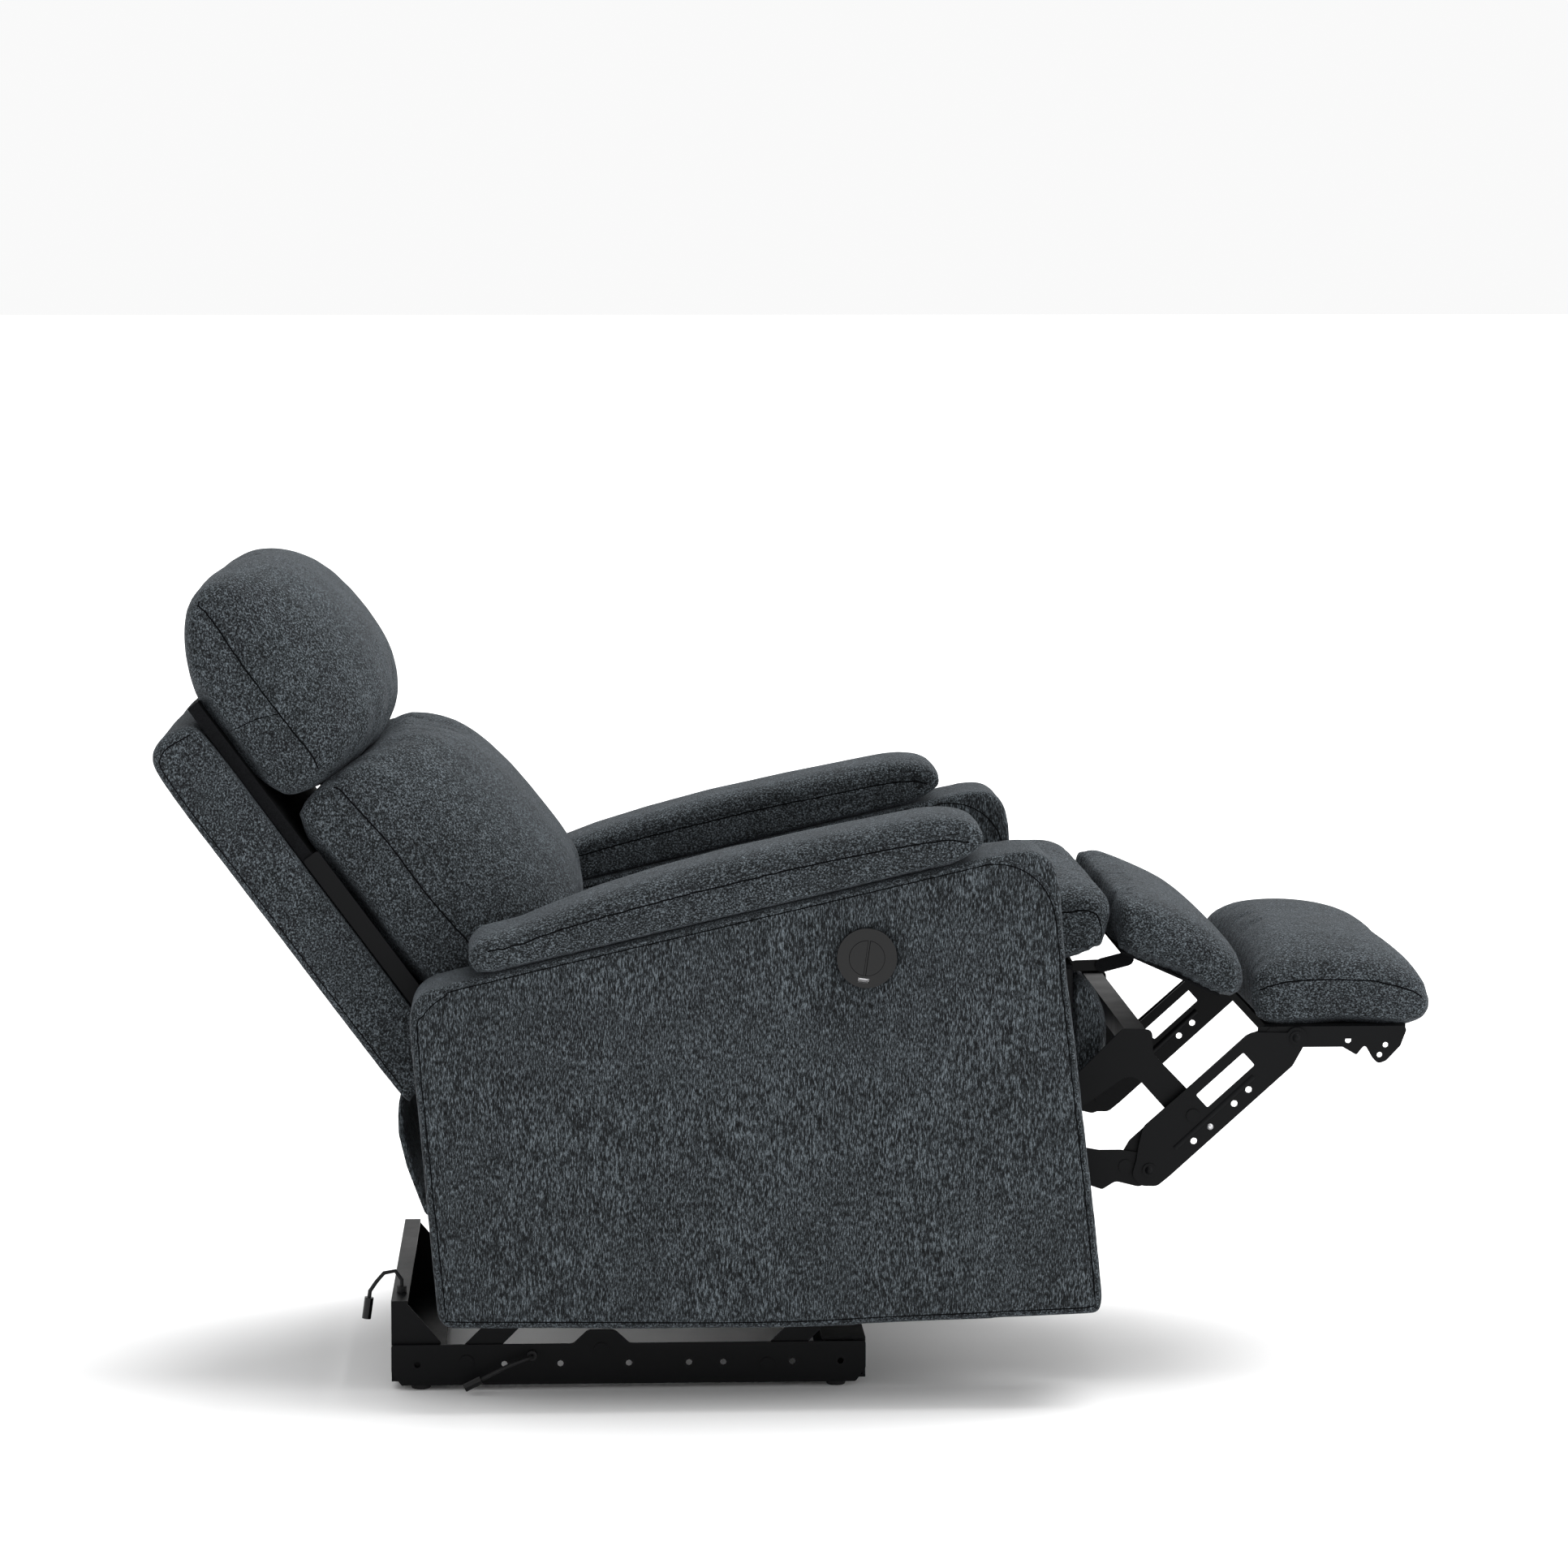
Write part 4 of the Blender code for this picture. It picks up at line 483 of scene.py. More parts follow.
class Cover:
    """A padded cover worked up from its frame solid."""

    def __init__(self, name, voxel=0.006, inset=0.0010, smoothing=3):
        self.mesh = worked(frame_mesh(name), [
            ("REMESH", {"mode": "VOXEL", "voxel_size": voxel, "adaptivity": 0.0}),
            ("SMOOTH", {"factor": 0.5, "iterations": smoothing}),
            ("DISPLACE", {"strength": -inset, "mid_level": 0.0}),
        ])

    def fill(self, share=1.0):
        swell(self.mesh, cloth().inflate, cloth().swell * share)
        return self

    def shift(self, amount):
        put_points(self.mesh, points_of(self.mesh) + normals_of(self.mesh) * amount[:, None])
        return self

    def groove(self, line, depth, width, beyond=0.0):
        """Press a seam in along a side-view line, on the parts further out than beyond."""
        places = points_of(self.mesh)
        gap = distance_to_line(places[:, (0, 2)], side_view(line))
        press = -depth * np.exp(-(gap / width) ** 2)
        press[np.abs(places[:, 1]) < beyond] = 0
        return self.shift(press)

    def gather(self, line, height, reach, pitch, seed, low=0.0, high=9.0):
        """Little folds that run away from a cross seam and die out."""
        places = points_of(self.mesh)
        gap = distance_to_line(places[:, (0, 2)], side_view(line))
        wander = rumple(places, 22.0, seed)
        folds = np.sin(places[:, 1] / pitch * 2 * pi + wander * 4.0)
        uneven = 0.55 + 0.45 * rumple(places, 9.0, seed + 5)
        near = (gap > low) & (gap < high)
        return self.shift(height * folds * uneven * np.exp(-gap / reach) * near)

    def pleat(self, half, line, height, reach, pitch):
        """Little folds that climb a side from a line along its lower edge."""
        places = points_of(self.mesh)
        gap = distance_to_line(places[:, (0, 2)], side_view(line))
        folds = np.sin(places[:, 0] / pitch * 2 * pi + 3.0 * rumple(places, 20.0, 41))
        side = np.abs(places[:, 1]) > half - 0.030
        return self.shift(height * folds * np.exp(-gap / reach) * side)

    def ease(self, height, scale, seed):
        """Broad soft unevenness of a filled cover."""
        return self.shift(height * rumple(points_of(self.mesh), scale, seed))

    def finish(self, name, skin, body, nodes, fill, smooth=True):
        mesh = worked(self.mesh, [("SUBSURF", {"levels": 1, "render_levels": 1})]) if smooth else self.mesh
        made = show(name, mesh, skin, body)
        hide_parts(*nodes)
        return made


# ------------------------------------------------------------------ seams and stitches
def stitch_tree():
    """Geometry nodes: thread stitches laid end to end along a curve."""
    tree = bpy.data.node_groups.new("stitch_row", "GeometryNodeTree")
    face = tree.interface
    face.new_socket("Geometry", in_out="INPUT", socket_type="NodeSocketGeometry")
    sizes = (("Stitch length", 0.0055), ("Thread radius", 0.0006), ("Share sewn", 0.68))
    for label, value in sizes:
        socket = face.new_socket(label, in_out="INPUT", socket_type="NodeSocketFloat")
        socket.default_value = value
    face.new_socket("Thread", in_out="INPUT", socket_type="NodeSocketMaterial")
    face.new_socket("Geometry", in_out="OUTPUT", socket_type="NodeSocketGeometry")
    given = tree.nodes.new("NodeGroupInput").outputs
    out = tree.nodes.new("NodeGroupOutput")
    rows = node(tree, "GeometryNodeResampleCurve", [("Curve", given["Geometry"]),
                                                    ("Length", given["Stitch length"])],
                mode="LENGTH")
    long = maths(tree, "MULTIPLY", given["Stitch length"], given["Share sewn"])
    one = node(tree, "GeometryNodeMeshCylinder", [("Vertices", 6), ("Radius", given["Thread radius"]),
                                                  ("Depth", long)])
    lined = node(tree, "FunctionNodeAlignRotationToVector",
                 [("Vector", node(tree, "GeometryNodeInputTangent").outputs[0])], axis="Z")
    placed = node(tree, "GeometryNodeInstanceOnPoints",
                  [("Points", rows.outputs[0]), ("Instance", one.outputs["Mesh"]),
                   ("Rotation", lined.outputs[0])])
    whole = node(tree, "GeometryNodeRealizeInstances", [(0, placed.outputs[0])])
    coloured = node(tree, "GeometryNodeSetMaterial", [("Geometry", whole.outputs[0]),
                                                      ("Material", given["Thread"])])
    tree.links.new(coloured.outputs[0], out.inputs[0])
    return tree


def curve_object(name, line, radius=0.0):
    """A curve through the line, as a capped tube of the given radius."""
    curve = bpy.data.curves.new(name, "CURVE")
    curve.dimensions = "3D"
    curve.bevel_depth = radius
    curve.bevel_resolution = 1
    curve.use_fill_caps = True
    spline = curve.splines.new("POLY")
    spline.points.add(len(line) - 1)
    for point, place in zip(spline.points, line):
        point.co = (*place, 1.0)
    made = bpy.data.objects.new(name, curve)
    bpy.context.scene.collection.objects.link(made)
    return made


def sampled(line, step, count_of=int):
    """The same line with a point about every step, smoothed at its corners."""
    knots = [Vector(p) for p in line]
    knots = [2 * knots[0] - knots[1], *knots, 2 * knots[-1] - knots[-2]]
    result = []
    for a, b, c, d in zip(knots, knots[1:], knots[2:], knots[3:]):
        count = max(1, count_of((c - b).length / step))
        for index in range(count):
            t = index / count
            bend = 2 * b + (c - a) * t + (2 * a - 5 * b + 4 * c - d) * t * t
            result.append((bend + (3 * b - a - 3 * c + d) * t ** 3) / 2)
    result.append(knots[-2])
    return result


def on_cover(cover, line, lift):
    """The line drawn onto a piece's surface, lifted a little off it."""
    shape = bmesh.new()
    shape.from_mesh(cover.data)
    tree = BVHTree.FromBMesh(shape)
    shape.free()
    result = []
    for place in line:
        hit, normal, _, _ = tree.find_nearest(place)
        result.append(hit + normal * lift)
    return result


def set_up(item, tree_name, maker, values):
    """Give an object a geometry nodes modifier with its named inputs set."""
    step = item.modifiers.new(tree_name, "NODES")
    step.node_group = group(tree_name, maker)
    for socket in step.node_group.interface.items_tree:
        if socket.in_out == "INPUT" and socket.name in values:
            step[socket.identifier] = values[socket.name]


def stitches(name, cover, line, body):
    """A row of topstitching on a cover."""
    drawn = on_cover(cover, sampled(line, STITCH_STEP), 0.0004)
    item = curve_object(name, drawn)
    set_up(item, "stitch_row", stitch_tree, {"Stitch length": cloth().stitch, "Thread": thread()})
    mesh = baked(item)
    bpy.data.objects.remove(item)
    return show(name, mesh, thread(), body, smooth=False)


def seam(name, cover, line, body, radius=0.0011, lift=-0.0004, skin=None):
    """The dark line where two panels of cloth meet."""
    drawn = on_cover(cover, sampled(line, SEAM_STEP), lift)
    item = curve_object(name, drawn, radius=radius)
    mesh = baked(item)
    bpy.data.objects.remove(item)
    return show(name, mesh, skin or seam_shadow(), body)


# ------------------------------------------------------------------ rivets and stamped ribs
def rivet_tree():
    """Geometry nodes: a domed head on a thin washer at every point of a mesh."""
    tree = bpy.data.node_groups.new("rivet_set", "GeometryNodeTree")
    face = tree.interface
    face.new_socket("Geometry", in_out="INPUT", socket_type="NodeSocketGeometry")
    for label, value in (("Head radius", 0.004), ("Proud", 0.001)):
        socket = face.new_socket(label, in_out="INPUT", socket_type="NodeSocketFloat")
        socket.default_value = value
    face.new_socket("Steel", in_out="INPUT", socket_type="NodeSocketMaterial")
    face.new_socket("Geometry", in_out="OUTPUT", socket_type="NodeSocketGeometry")
    given = tree.nodes.new("NodeGroupInput").outputs
    out = tree.nodes.new("NodeGroupOutput")
    radius = given["Head radius"]
    washer = node(tree, "GeometryNodeMeshCylinder", [("Vertices", 20), ("Radius", radius),
                                                     ("Depth", given["Proud"])])
    dome = node(tree, "GeometryNodeMeshUVSphere", [("Segments", 16), ("Rings", 8),
                                                   ("Radius", maths(tree, "MULTIPLY", radius, 0.62))])
    low = node(tree, "ShaderNodeCombineXYZ", [(0, 1.0), (1, 1.0), (2, 0.35)])
    flat = node(tree, "GeometryNodeTransform", [("Geometry", dome.outputs["Mesh"]),
                                                ("Scale", low.outputs[0])])
    both = tree.nodes.new("GeometryNodeJoinGeometry")
    tree.links.new(washer.outputs["Mesh"], both.inputs[0])
    tree.links.new(flat.outputs[0], both.inputs[0])
    turn = node(tree, "FunctionNodeEulerToRotation", [(0, (pi / 2, 0.0, 0.0))])
    placed = node(tree, "GeometryNodeInstanceOnPoints",
                  [("Points", given["Geometry"]), ("Instance", both.outputs[0]),
                   ("Rotation", turn.outputs[0])])
    whole = node(tree, "GeometryNodeRealizeInstances", [(0, placed.outputs[0])])
    coloured = node(tree, "GeometryNodeSetMaterial", [("Geometry", whole.outputs[0]),
                                                      ("Material", given["Steel"])])
    tree.links.new(coloured.outputs[0], out.inputs[0])
    return tree


def rivets(name, places, body, skin, radius=0.004, proud=0.001):
    """Heads lying in the side view, one at each place."""
    mesh = bpy.data.meshes.new(name + "_places")
    mesh.from_pydata([tuple(place) for place in places], [], [])
    item = bpy.data.objects.new(name + "_places", mesh)
    bpy.context.scene.collection.objects.link(item)
    set_up(item, "rivet_set", rivet_tree, {"Head radius": radius, "Proud": proud, "Steel": skin})
    result = baked(item)
    bpy.data.objects.remove(item)
    return show(name, result, skin, body)


def rib(name, line, body, radius=0.0040):
    """A bead pressed up along a steel link."""
    item = curve_object(name, sampled(line, SEAM_STEP), radius=radius)
    item.data.bevel_resolution = 3
    mesh = baked(item)
    bpy.data.objects.remove(item)
    return show(name, mesh, paint(), body)


# ------------------------------------------------------------------ operators
class RECLINER_OT_leads(bpy.types.Operator):
    """Two short free leads at the back of the base"""
    bl_idname = "recliner.leads"
    bl_label = "Leads"

    def execute(self, context):
        radius = CORD_RADIUS
        straight = 3 * radius
        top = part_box("power_lead_bush")[1][2] + EXIT_GAP
        x = -RAIL_REAR + 0.011
        y = -0.200
        end = Vector((-0.2440, y - 0.004, 0.1020))
        heading = Vector((-0.14, 0, -1)).normalized()
        power = [(x, y, top), (x, y, top + straight), (-0.2125, y - 0.001, 0.1330),
                 (-0.2260, y - 0.003, 0.1310), end - heading * straight, end]
        self.lay("power_lead", power, radius, "power_lead_plug")
        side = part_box("control_lead_bush")[0][1] - EXIT_GAP
        end = Vector((-0.1080, -0.2850, 0.0180))
        heading = Vector((-0.86, 0, -0.42)).normalized()
        control = [(-0.048, side, 0.0420), (-0.048, side - straight, 0.0420),
                   (-0.0560, -0.2810, 0.0410), (-0.0760, -0.2850, 0.0340),
                   end - heading * straight, end]
        self.lay("control_lead", control, radius, "control_lead_plug")
        return {"FINISHED"}

    def lay(self, name, route, radius, plug):
        points = [Vector(p) + Vector((SHIFT, 0, 0)) for p in route]
        line = sampled(points, 3 * 2 * radius, round)
        item = curve_object(name + "_flex", line, radius=radius)
        item.data.bevel_resolution = 3
        item.data.materials.append(soft_rubber())
        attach(item, "base")
        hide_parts(name)


def panel_edge(inset, y):
    """The side panel's outline, moved in from its edge."""
    corners = [
        (-0.150, 0.102), (0.05, 0.100), (0.222, 0.098), (0.42, 0.105), (0.603, 0.112),
        (0.619, 0.118), (0.622, 0.140), (0.602, 0.326), (0.583, 0.490), (0.574, 0.580),
        (0.556, 0.625), (0.522, 0.650), (0.485, 0.655), (0.458, 0.649), (0.17, 0.5825),
        (-0.112, 0.517), (-0.150, 0.503), (-0.178, 0.478), (-0.1865, 0.445), (-0.172, 0.28),
        (-0.157, 0.125),
    ]
    count = len(corners)
    result = []
    for index, (x, z) in enumerate(corners):
        before = Vector(corners[index - 1])
        after = Vector(corners[(index + 1) % count])
        run = (after - before).normalized()
        result.append(at(x - run.y * inset, z + run.x * inset, y))
    return result


class RECLINER_OT_side_panels(bpy.types.Operator):
    """The two upholstered arm boxes, with the seam round each outer face"""
    bl_idname = "recliner.side_panels"
    bl_label = "Side panels"

    def execute(self, context):
        for word, side in SIDES:
            node_name = f"side_panel_{word}"
            cover = Cover(node_name, voxel=0.006, inset=0.0005, smoothing=4)
            cover.ease(0.0008, 9.0, 3 + side)
            y = side * PANEL_FACE
            line = panel_edge(WELT_INSET, y)
            closed = [*line, line[0]]
            places = points_of(cover.mesh)
            gap = distance_to_line(places[:, (0, 2)], side_view(closed))
            outer = places[:, 1] * side > PANEL_FACE - 0.02
            cover.shift(-0.0016 * np.exp(-(gap / 0.004) ** 2) * outer)
            made = cover.finish(f"arm_box_{word}", chenille("up"), "seat", [node_name], None)
            seam(f"arm_box_seam_{word}", made, closed, "seat", radius=0.0009)
            rim = panel_edge(PIPING_INSET, y)
            seam(f"arm_box_piping_{word}", made, [*rim, rim[0]], "seat", radius=0.0016,
                 lift=-0.0002, skin=chenille("along"))
            inner = panel_edge(WELT_INSET, side * (PANEL_FACE - ARM_BOX_WIDTH))
            seam(f"arm_box_inner_seam_{word}", made, [*inner, inner[0]], "seat", radius=0.0009)
        return {"FINISHED"}


class RECLINER_OT_arm_pads(bpy.types.Operator):
    """The padded arm tops, with a topstitched welt along each side"""
    bl_idname = "recliner.arm_pads"
    bl_label = "Arm pads"

    def execute(self, context):
        for word, side in SIDES:
            node_name = f"arm_pad_{word}"
            low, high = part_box(node_name)
            cover = Cover(node_name, voxel=0.005, inset=0.001).fill(0.5)
            rise = [(-0.095, 0.548), (0.05, 0.590), (0.20, 0.628), (0.35, 0.661), (0.43, 0.674),
                    (0.462, 0.672)]
            middle = (low[1] + high[1]) / 2
            half = (high[1] - low[1]) / 2
            for edge in (-1, 1):
                line = [at(x, z, middle + edge * half) for x, z in rise]
                places = points_of(cover.mesh)
                gap = distance_to_line(places[:, (0, 2)], side_view(line))
                outer = (places[:, 1] - middle) * edge > half - 0.022
                press = -0.0022 * np.exp(-(gap / 0.0045) ** 2) * outer
                wander = np.sin(places[:, 0] / 0.031 * 2 * pi + 3 * rumple(places, 16.0, 7))
                press += 0.0006 * wander * np.exp(-gap / 0.014) * outer
                cover.shift(press)
            cover.gather([at(0.470, 0.690), at(0.486, 0.672)], 0.0012, 0.03, 0.022, 11)
            made = cover.finish(f"arm_top_{word}", chenille("along"), "seat", [node_name], 0.8)
            for edge, label in ((-1, "a"), (1, "b")):
                y = middle + edge * half
                line = [at(x, z, y) for x, z in rise]
                seam(f"arm_top_welt_{word}_{label}", made, line, "seat", radius=0.0010)
                above = [at(x, z + 0.006, y) for x, z in rise]
                stitches(f"arm_top_stitch_{word}_{label}", made, above, "seat")
        return {"FINISHED"}


class RECLINER_OT_seat_cushion(bpy.types.Operator):
    """The seat cushion, crowned, with a boxing seam down each side"""
    bl_idname = "recliner.seat_cushion"
    bl_label = "Seat cushion"

    def execute(self, context):
        cover = Cover("seat_cushion", voxel=0.007).fill(1.0)
        boxing = [at(0.02, 0.418), at(0.20, 0.455), at(0.36, 0.507), at(0.50, 0.548), at(0.60, 0.572),
                  at(0.636, 0.560), at(0.645, 0.540)]
        cover.groove(boxing, 0.003, 0.006, beyond=SEAT_SIDE - 0.03)
        front = [at(0.600, 0.612), at(0.640, 0.600), at(0.650, 0.560)]
        cover.gather(front, 0.0016, 0.035, 0.034, 2)
        cover.pleat(SEAT_SIDE, [at(0.590, 0.525), at(0.648, 0.530)], 0.0022, 0.020, 0.012)
        cover.ease(0.0012, 7.0, 4)
        made = cover.finish("seat_pad", chenille("along"), "seat", ["seat_cushion"], 0.75)
        for word, edge in SIDES:
            line = [Vector((p.x, edge * SEAT_SIDE, p.z)) for p in boxing]
            seam(f"seat_boxing_seam_{word}", made, line, "seat")
        return {"FINISHED"}


class RECLINER_OT_back_cushions(bpy.types.Operator):
    """Headrest and lumbar cushions, with boxed sides and soft cross seams"""
    bl_idname = "recliner.back_cushions"
    bl_label = "Back cushions"

    def execute(self, context):
        boxing = [on_back(0.205, 1.030), on_back(0.209, 0.990), on_back(0.206, 0.928),
                  on_back(0.206, 0.857), on_back(0.208, 0.789), on_back(0.212, 0.714),
                  on_back(0.217, 0.656), on_back(0.217, 0.578), on_back(0.223, 0.499),
                  on_back(0.228, 0.462)]
        head = Cover("headrest_cushion", voxel=0.006).fill(1.0)
        head.groove(boxing[:6], 0.0035, 0.006, beyond=CUSHION_SIDE - 0.035)
        low_edge = [on_back(0.30, 0.770), on_back(0.24, 0.758)]
        head.gather(low_edge, 0.0020, 0.030, 0.036, 6)
        head.ease(0.0014, 8.0, 8)
        head_made = head.finish("headrest_pad", chenille("lean"), "back", ["headrest_cushion"], 0.8)
        lumbar = Cover("lumbar_cushion", voxel=0.007).fill(1.0)
        lumbar.groove(boxing[4:], 0.0035, 0.006, beyond=CUSHION_SIDE - 0.035)
        top_edge = [on_back(0.300, 0.748), on_back(0.240, 0.750)]
        lumbar.gather(top_edge, 0.0024, 0.040, 0.041, 9)
        lumbar.ease(0.0016, 6.5, 12)
        lumbar_made = lumbar.finish("lumbar_pad", chenille("lean"), "back", ["lumbar_cushion"], 0.75)
        cross = [on_back(0.150, 0.873), on_back(0.180, 0.868), on_back(0.206, 0.857)]
        for word, edge in SIDES:
            y = edge * CUSHION_SIDE
            upper = [Vector((p.x, y, p.z)) for p in (*boxing[:5], on_back(0.209, 0.770))]
            lower = [Vector((p.x, y, p.z)) for p in (on_back(0.210, 0.757), *boxing[5:])]
            seam(f"headrest_boxing_seam_{word}", head_made, upper, "back")
            seam(f"lumbar_boxing_seam_{word}", lumbar_made, lower, "back")
            across = [Vector((p.x, y, p.z)) for p in cross]
            seam(f"headrest_cross_seam_{word}", head_made, across, "back", radius=0.0008)
        return {"FINISHED"}


class RECLINER_OT_outside_back(bpy.types.Operator):
    """The padded shell of the back and the loose flap below it"""
    bl_idname = "recliner.outside_back"
    bl_label = "Outside back"

    def execute(self, context):
        cover = Cover("outside_back", voxel=0.006, inset=0.0005, smoothing=4)
        cover.ease(0.0012, 8.0, 21)
        made = cover.finish("back_shell", chenille("lean"), "back", ["outside_back"], None)
        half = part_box("outside_back")[1][1]
        edge_line = [on_back(0.055, 0.412), on_back(0.054, 0.64), on_back(0.054, 0.86),
                     on_back(0.066, 0.900), on_back(0.108, 0.900)]
        for word, edge in SIDES:
            line = [Vector((p.x, edge * half, p.z)) for p in edge_line]
            seam(f"back_shell_seam_{word}", made, line, "back", radius=0.0009)
        flap = Cover("back_skirt", voxel=0.003, inset=0.0, smoothing=2)
        places = points_of(flap.mesh)
        drop = np.clip((at(0, 0.345).z - places[:, 2]) / 0.12, 0, 1)
        flap.shift(0.0022 * np.sin(places[:, 1] / 0.09 * 2 * pi) * drop)
        flap.finish("back_flap", chenille("up"), "back", ["back_skirt"], None, smooth=False)
        return {"FINISHED"}


class RECLINER_OT_front_flap(bpy.types.Operator):
    """The small padded valance under the front of the seat"""
    bl_idname = "recliner.front_flap"
    bl_label = "Front valance"

    def execute(self, context):
        cover = Cover("front_valance", voxel=0.005).fill(0.5)
        cover.gather([at(0.612, 0.488), at(0.628, 0.474)], 0.0016, 0.03, 0.05, 31)
        cover.finish("valance_pad", chenille("up"), "seat", ["front_valance"], 0.5)
        return {"FINISHED"}


class RECLINER_OT_footrest_pads(bpy.types.Operator):
    """The calf pad and the ottoman cushion"""
    bl_idname = "recliner.footrest_pads"
    bl_label = "Footrest pads"

    def execute(self, context):
        calf = Cover("calf_pad", voxel=0.005).fill(0.8)
        rear_seam = [at(0.653, 0.592), at(0.652, 0.545)]
        calf.gather(rear_seam, 0.0026, 0.024, 0.024, 14)
        calf.pleat(FOOT_SIDE, [at(0.655, 0.528), at(0.700, 0.508), at(0.779, 0.474)], 0.0020,
                   0.020, 0.011)
        calf.gather([at(0.800, 0.470), at(0.806, 0.482)], 0.0014, 0.016, 0.024, 15)
        calf.finish("calf_cushion", chenille("along"), "calf_pad", ["calf_pad"], 0.75)
        foot = Cover("ottoman_cushion", voxel=0.006).fill(1.0)
        side_line = [at(0.814, 0.482), at(0.887, 0.492), at(0.946, 0.492), at(0.985, 0.484),
                     at(1.026, 0.471)]
        foot.groove(side_line, 0.0028, 0.005, beyond=FOOT_SIDE - 0.03)
        foot.gather([at(0.815, 0.490), at(0.815, 0.440)], 0.0018, 0.02, 0.03, 17)
        foot.pleat(FOOT_SIDE, [at(0.818, 0.490), at(0.835, 0.440)], 0.0018, 0.020, 0.010)
        foot.ease(0.0012, 8.0, 19)
        made = foot.finish("ottoman_pad", chenille("along"), "ottoman", ["ottoman_cushion"], 0.8)
        for word, edge in SIDES:
            line = [Vector((p.x, edge * FOOT_SIDE, p.z)) for p in side_line]
            seam(f"ottoman_side_seam_{word}", made, line, "ottoman")
        return {"FINISHED"}


FINISHES = (
    (paint, ("base_rail", "rear_crossbar", "front_crossbar", "rear_swing", "front_swing",
             "seat_plate", "rear_cross_tube", "pad_hinge_bracket", "back_bracket", "lower_link",
             "outer_link", "twin_link", "cross_link", "torque_tube", "ottoman_bracket",
             "gear_motor", "drive_fork")),
    (black_plastic, ("switch_housing", "button_", "power_lead_plug", "control_lead_plug")),
    (soft_rubber, ("glide", "power_lead", "control_lead")),
    (nylon, ("actuator_rail",)),
    (bare_steel, ("lead_screw", "usb_port")),
    (dust_cloth, ("seat_deck", "back_frame", "calf_board", "front_rail", "ottoman_board")),
)


class RECLINER_OT_frame_finish(bpy.types.Operator):
    """Paint, rubber, plastic, steel and lining for the frame's own pieces"""
    bl_idname = "recliner.frame_finish"
    bl_label = "Frame finishes"

    def execute(self, context):
        for name, item in NODES.items():
            skin = next((maker for maker, starts in FINISHES if name.startswith(starts)), None)
            if skin is None:
                continue
            if not item.material_slots:
                item.data.materials.append(None)
            for slot in item.material_slots:
                slot.material = skin()
        return {"FINISHED"}


class RECLINER_OT_linkage_details(bpy.types.Operator):
    """Pressed ribs, pin heads, screws, and a dark disc of painted shade over a recess, on the outer links
    """
    bl_idname = "recliner.linkage_details"
    bl_label = "Linkage details"

    def execute(self, context):
        knee, ankle = Vector((0.692, 0.260)), Vector((0.868, 0.419))
        run = (ankle - knee).normalized()
        across = Vector((-run.y, run.x))

        def along(u, v, y):
            place = knee + run * u + across * v
            return at(place.x, place.y, y)

        for word, side in SIDES:
            face = side * LINK_FACE
            bead = [along(0.040, -0.001, face), along(0.168, 0.0, face)]
            rib(f"outer_link_rib_{word}", bead, "outer_links")
            plate_face = side * (PIN_FACE - PIN_HEAD)
            screw = [along(0.089, -0.010, plate_face)]
            rivets(f"outer_link_screw_{word}", screw, "outer_links", bare_steel(),
                   radius=0.0038, proud=0.0012)
            # painted shade: a raised black disc stands in for the dark hollow of a recess in the plate
            recess = [along(0.080, 0.011, plate_face)]
            rivets(f"outer_link_plug_{word}", recess, "outer_links", soft_rubber(),
                   radius=0.0040, proud=0.0006)
            pins = [along(u, 0.0, side * PIN_FACE) for u in (0.0, run.dot(ankle - knee))]
            rivets(f"outer_link_pins_{word}", pins, "outer_links", paint(),
                   radius=0.0052, proud=0.0008)
        return {"FINISHED"}


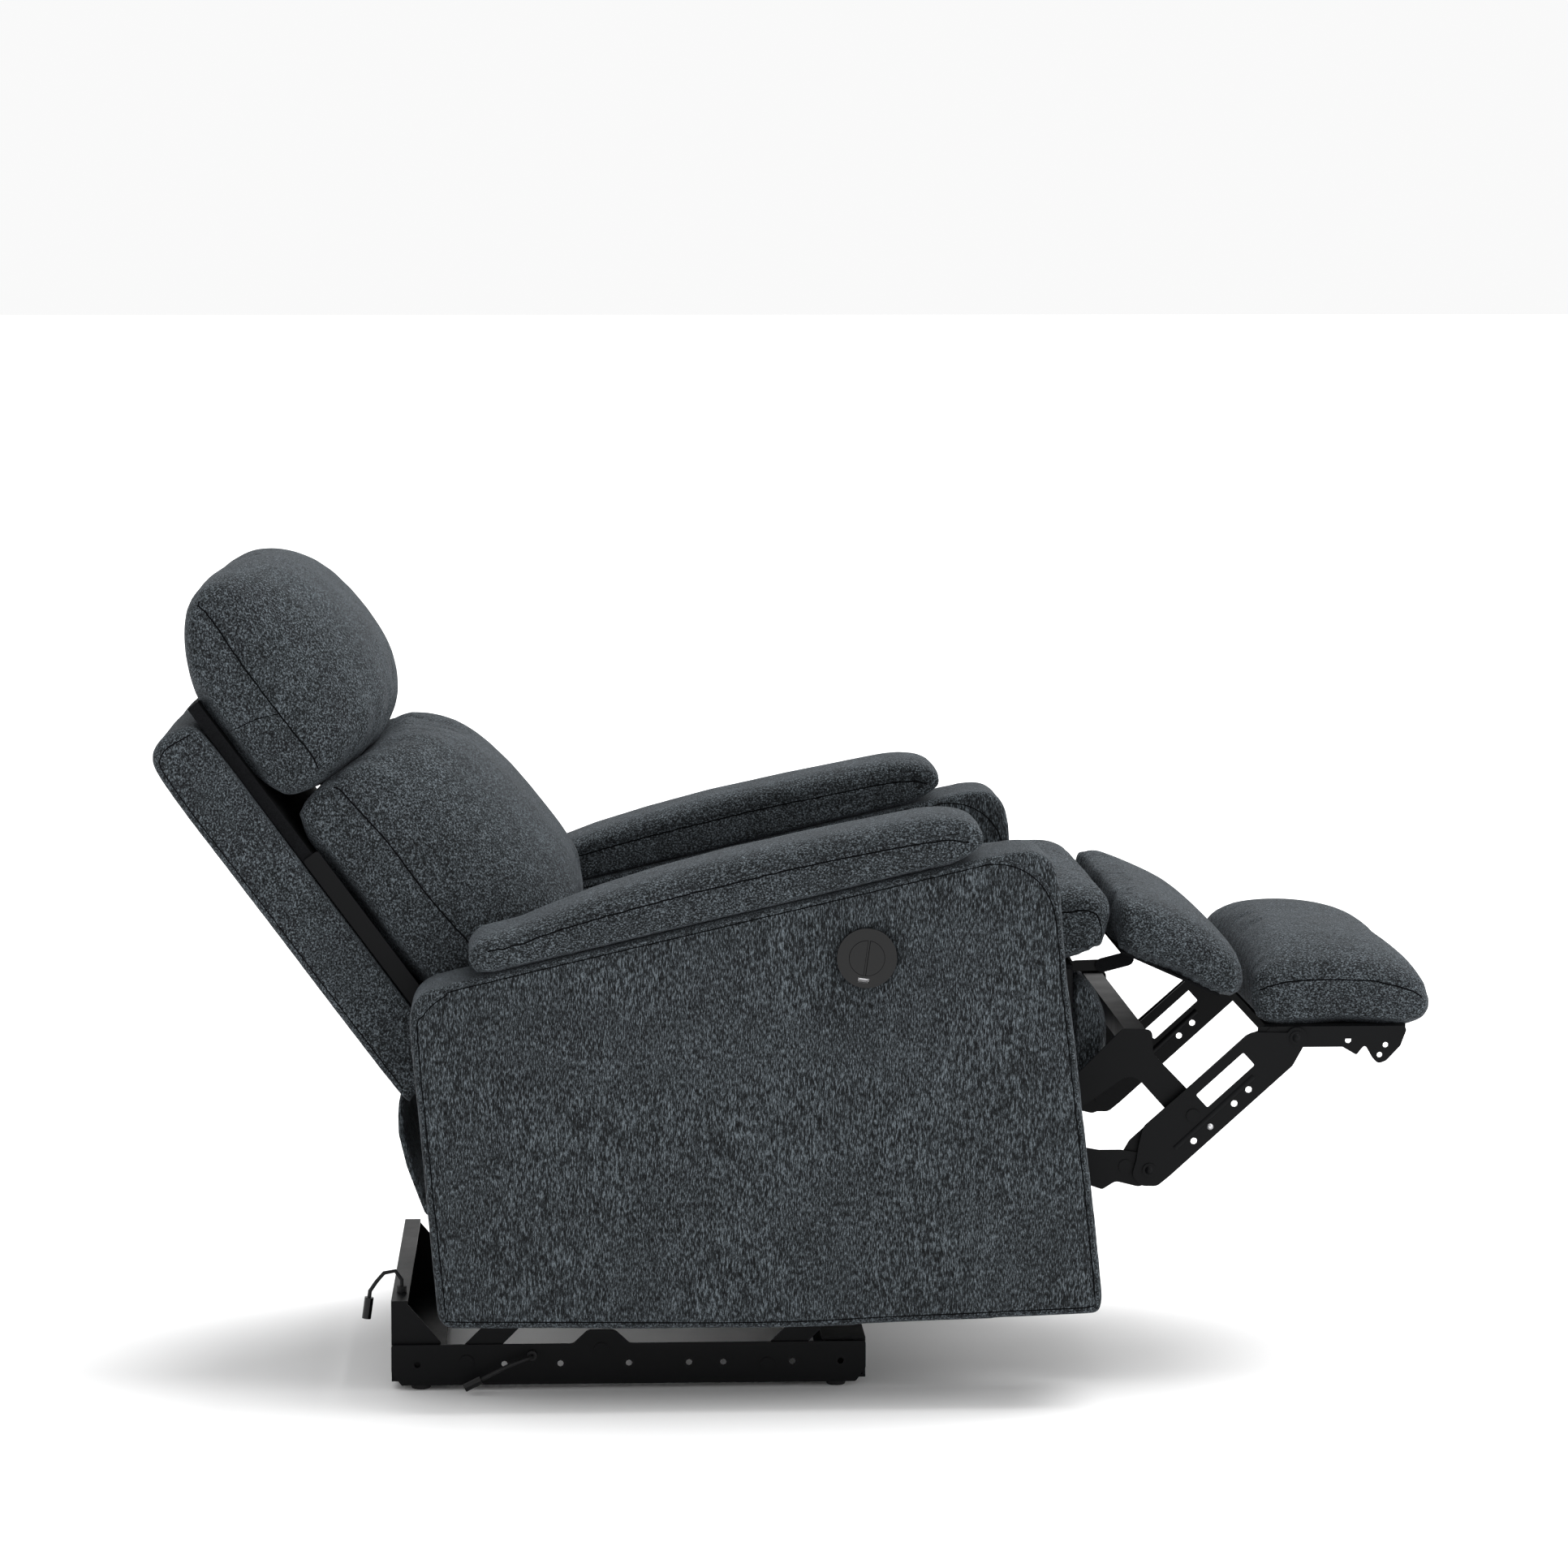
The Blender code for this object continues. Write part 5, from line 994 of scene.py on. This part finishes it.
class RECLINER_OT_studio(bpy.types.Operator):
    """Pale floor, soft light and the camera"""
    bl_idname = "recliner.studio"
    bl_label = "Studio"

    def execute(self, context):
        scene = context.scene
        scene.view_settings.view_transform = "Standard"
        shape = bmesh.new()
        bmesh.ops.create_grid(shape, x_segments=2, y_segments=2, size=FLOOR_REACH)
        mesh = bpy.data.meshes.new("studio_floor")
        shape.to_mesh(mesh)
        shape.free()
        floor = bpy.data.objects.new("studio_floor", mesh)
        floor.location.z = -0.0005
        skin, tree, shader, place = blank_material("studio_floor", studio().floor)
        shader.inputs["Base Color"].default_value = (*studio().floor, 1.0)
        shader.inputs["Roughness"].default_value = 0.8
        mesh.materials.append(skin)
        scene.collection.objects.link(floor)
        world = bpy.data.worlds.new("studio")
        world.use_nodes = True
        sky = world.node_tree.nodes["Background"]
        sky.inputs["Color"].default_value = (1.0, 1.0, 1.0, 1.0)
        sky.inputs["Strength"].default_value = studio().fill
        scene.world = world
        self.lamp("key", (0.35, 0.25, 1.0), 50.0, studio().key)
        self.lamp("front_wash", (1.0, -0.5, 0.45), 40.0, studio().key * 0.22)
        camera = bpy.data.cameras.new("camera")
        camera.sensor_width = CAMERA_SENSOR
        camera.lens = CAMERA_LENS
        item = bpy.data.objects.new("camera", camera)
        item.location = at(0.0, CAMERA_HEIGHT, -CAMERA_AWAY)
        item.rotation_euler = (CAMERA_TILT, 0.0, CAMERA_TURN)
        scene.collection.objects.link(item)
        scene.camera = item
        return {"FINISHED"}

    def lamp(self, name, heading, spread, power):
        light = bpy.data.lights.new(name, "SUN")
        light.angle = radians(spread)
        light.energy = power
        item = bpy.data.objects.new(name, light)
        item.location = (0, 0, 3)
        item.rotation_euler = Vector(heading).to_track_quat("Z", "Y").to_euler()
        bpy.context.scene.collection.objects.link(item)


class RECLINER_PT_sidebar(bpy.types.Panel):
    """Shows the cloth, steel and studio settings and a button for each step"""
    bl_label = "Recliner"
    bl_idname = "RECLINER_PT_sidebar"
    bl_space_type = "VIEW_3D"
    bl_region_type = "UI"
    bl_category = "Recliner"

    def draw(self, context):
        for label, held in (("Cloth", cloth()), ("Steel", steel()), ("Studio", studio())):
            box = self.layout.box()
            box.label(text=label)
            for name in held.__annotations__:
                box.prop(held, name)
        for step in STEPS:
            self.layout.operator(step.bl_idname)


GROUP_CLASSES = (RECLINER_PG_cloth, RECLINER_PG_steel, RECLINER_PG_studio)
STEPS = (
    RECLINER_OT_studio, RECLINER_OT_leads, RECLINER_OT_frame_finish, RECLINER_OT_side_panels,
    RECLINER_OT_arm_pads, RECLINER_OT_seat_cushion, RECLINER_OT_back_cushions,
    RECLINER_OT_outside_back, RECLINER_OT_front_flap, RECLINER_OT_footrest_pads,
    RECLINER_OT_linkage_details,
)
CLASSES = (*GROUP_CLASSES, *STEPS, RECLINER_PT_sidebar)


def register():
    for item in CLASSES:
        bpy.utils.register_class(item)
    scene = bpy.types.Scene
    scene.recliner_cloth = bpy.props.PointerProperty(type=RECLINER_PG_cloth)
    scene.recliner_steel = bpy.props.PointerProperty(type=RECLINER_PG_steel)
    scene.recliner_studio = bpy.props.PointerProperty(type=RECLINER_PG_studio)


def unregister():
    del bpy.types.Scene.recliner_studio
    del bpy.types.Scene.recliner_steel
    del bpy.types.Scene.recliner_cloth
    for item in reversed(CLASSES):
        bpy.utils.unregister_class(item)


def main():
    register()
    for step in STEPS:
        area, name = step.bl_idname.split(".")
        getattr(getattr(bpy.ops, area), name)()


if __name__ == "__main__":
    main()
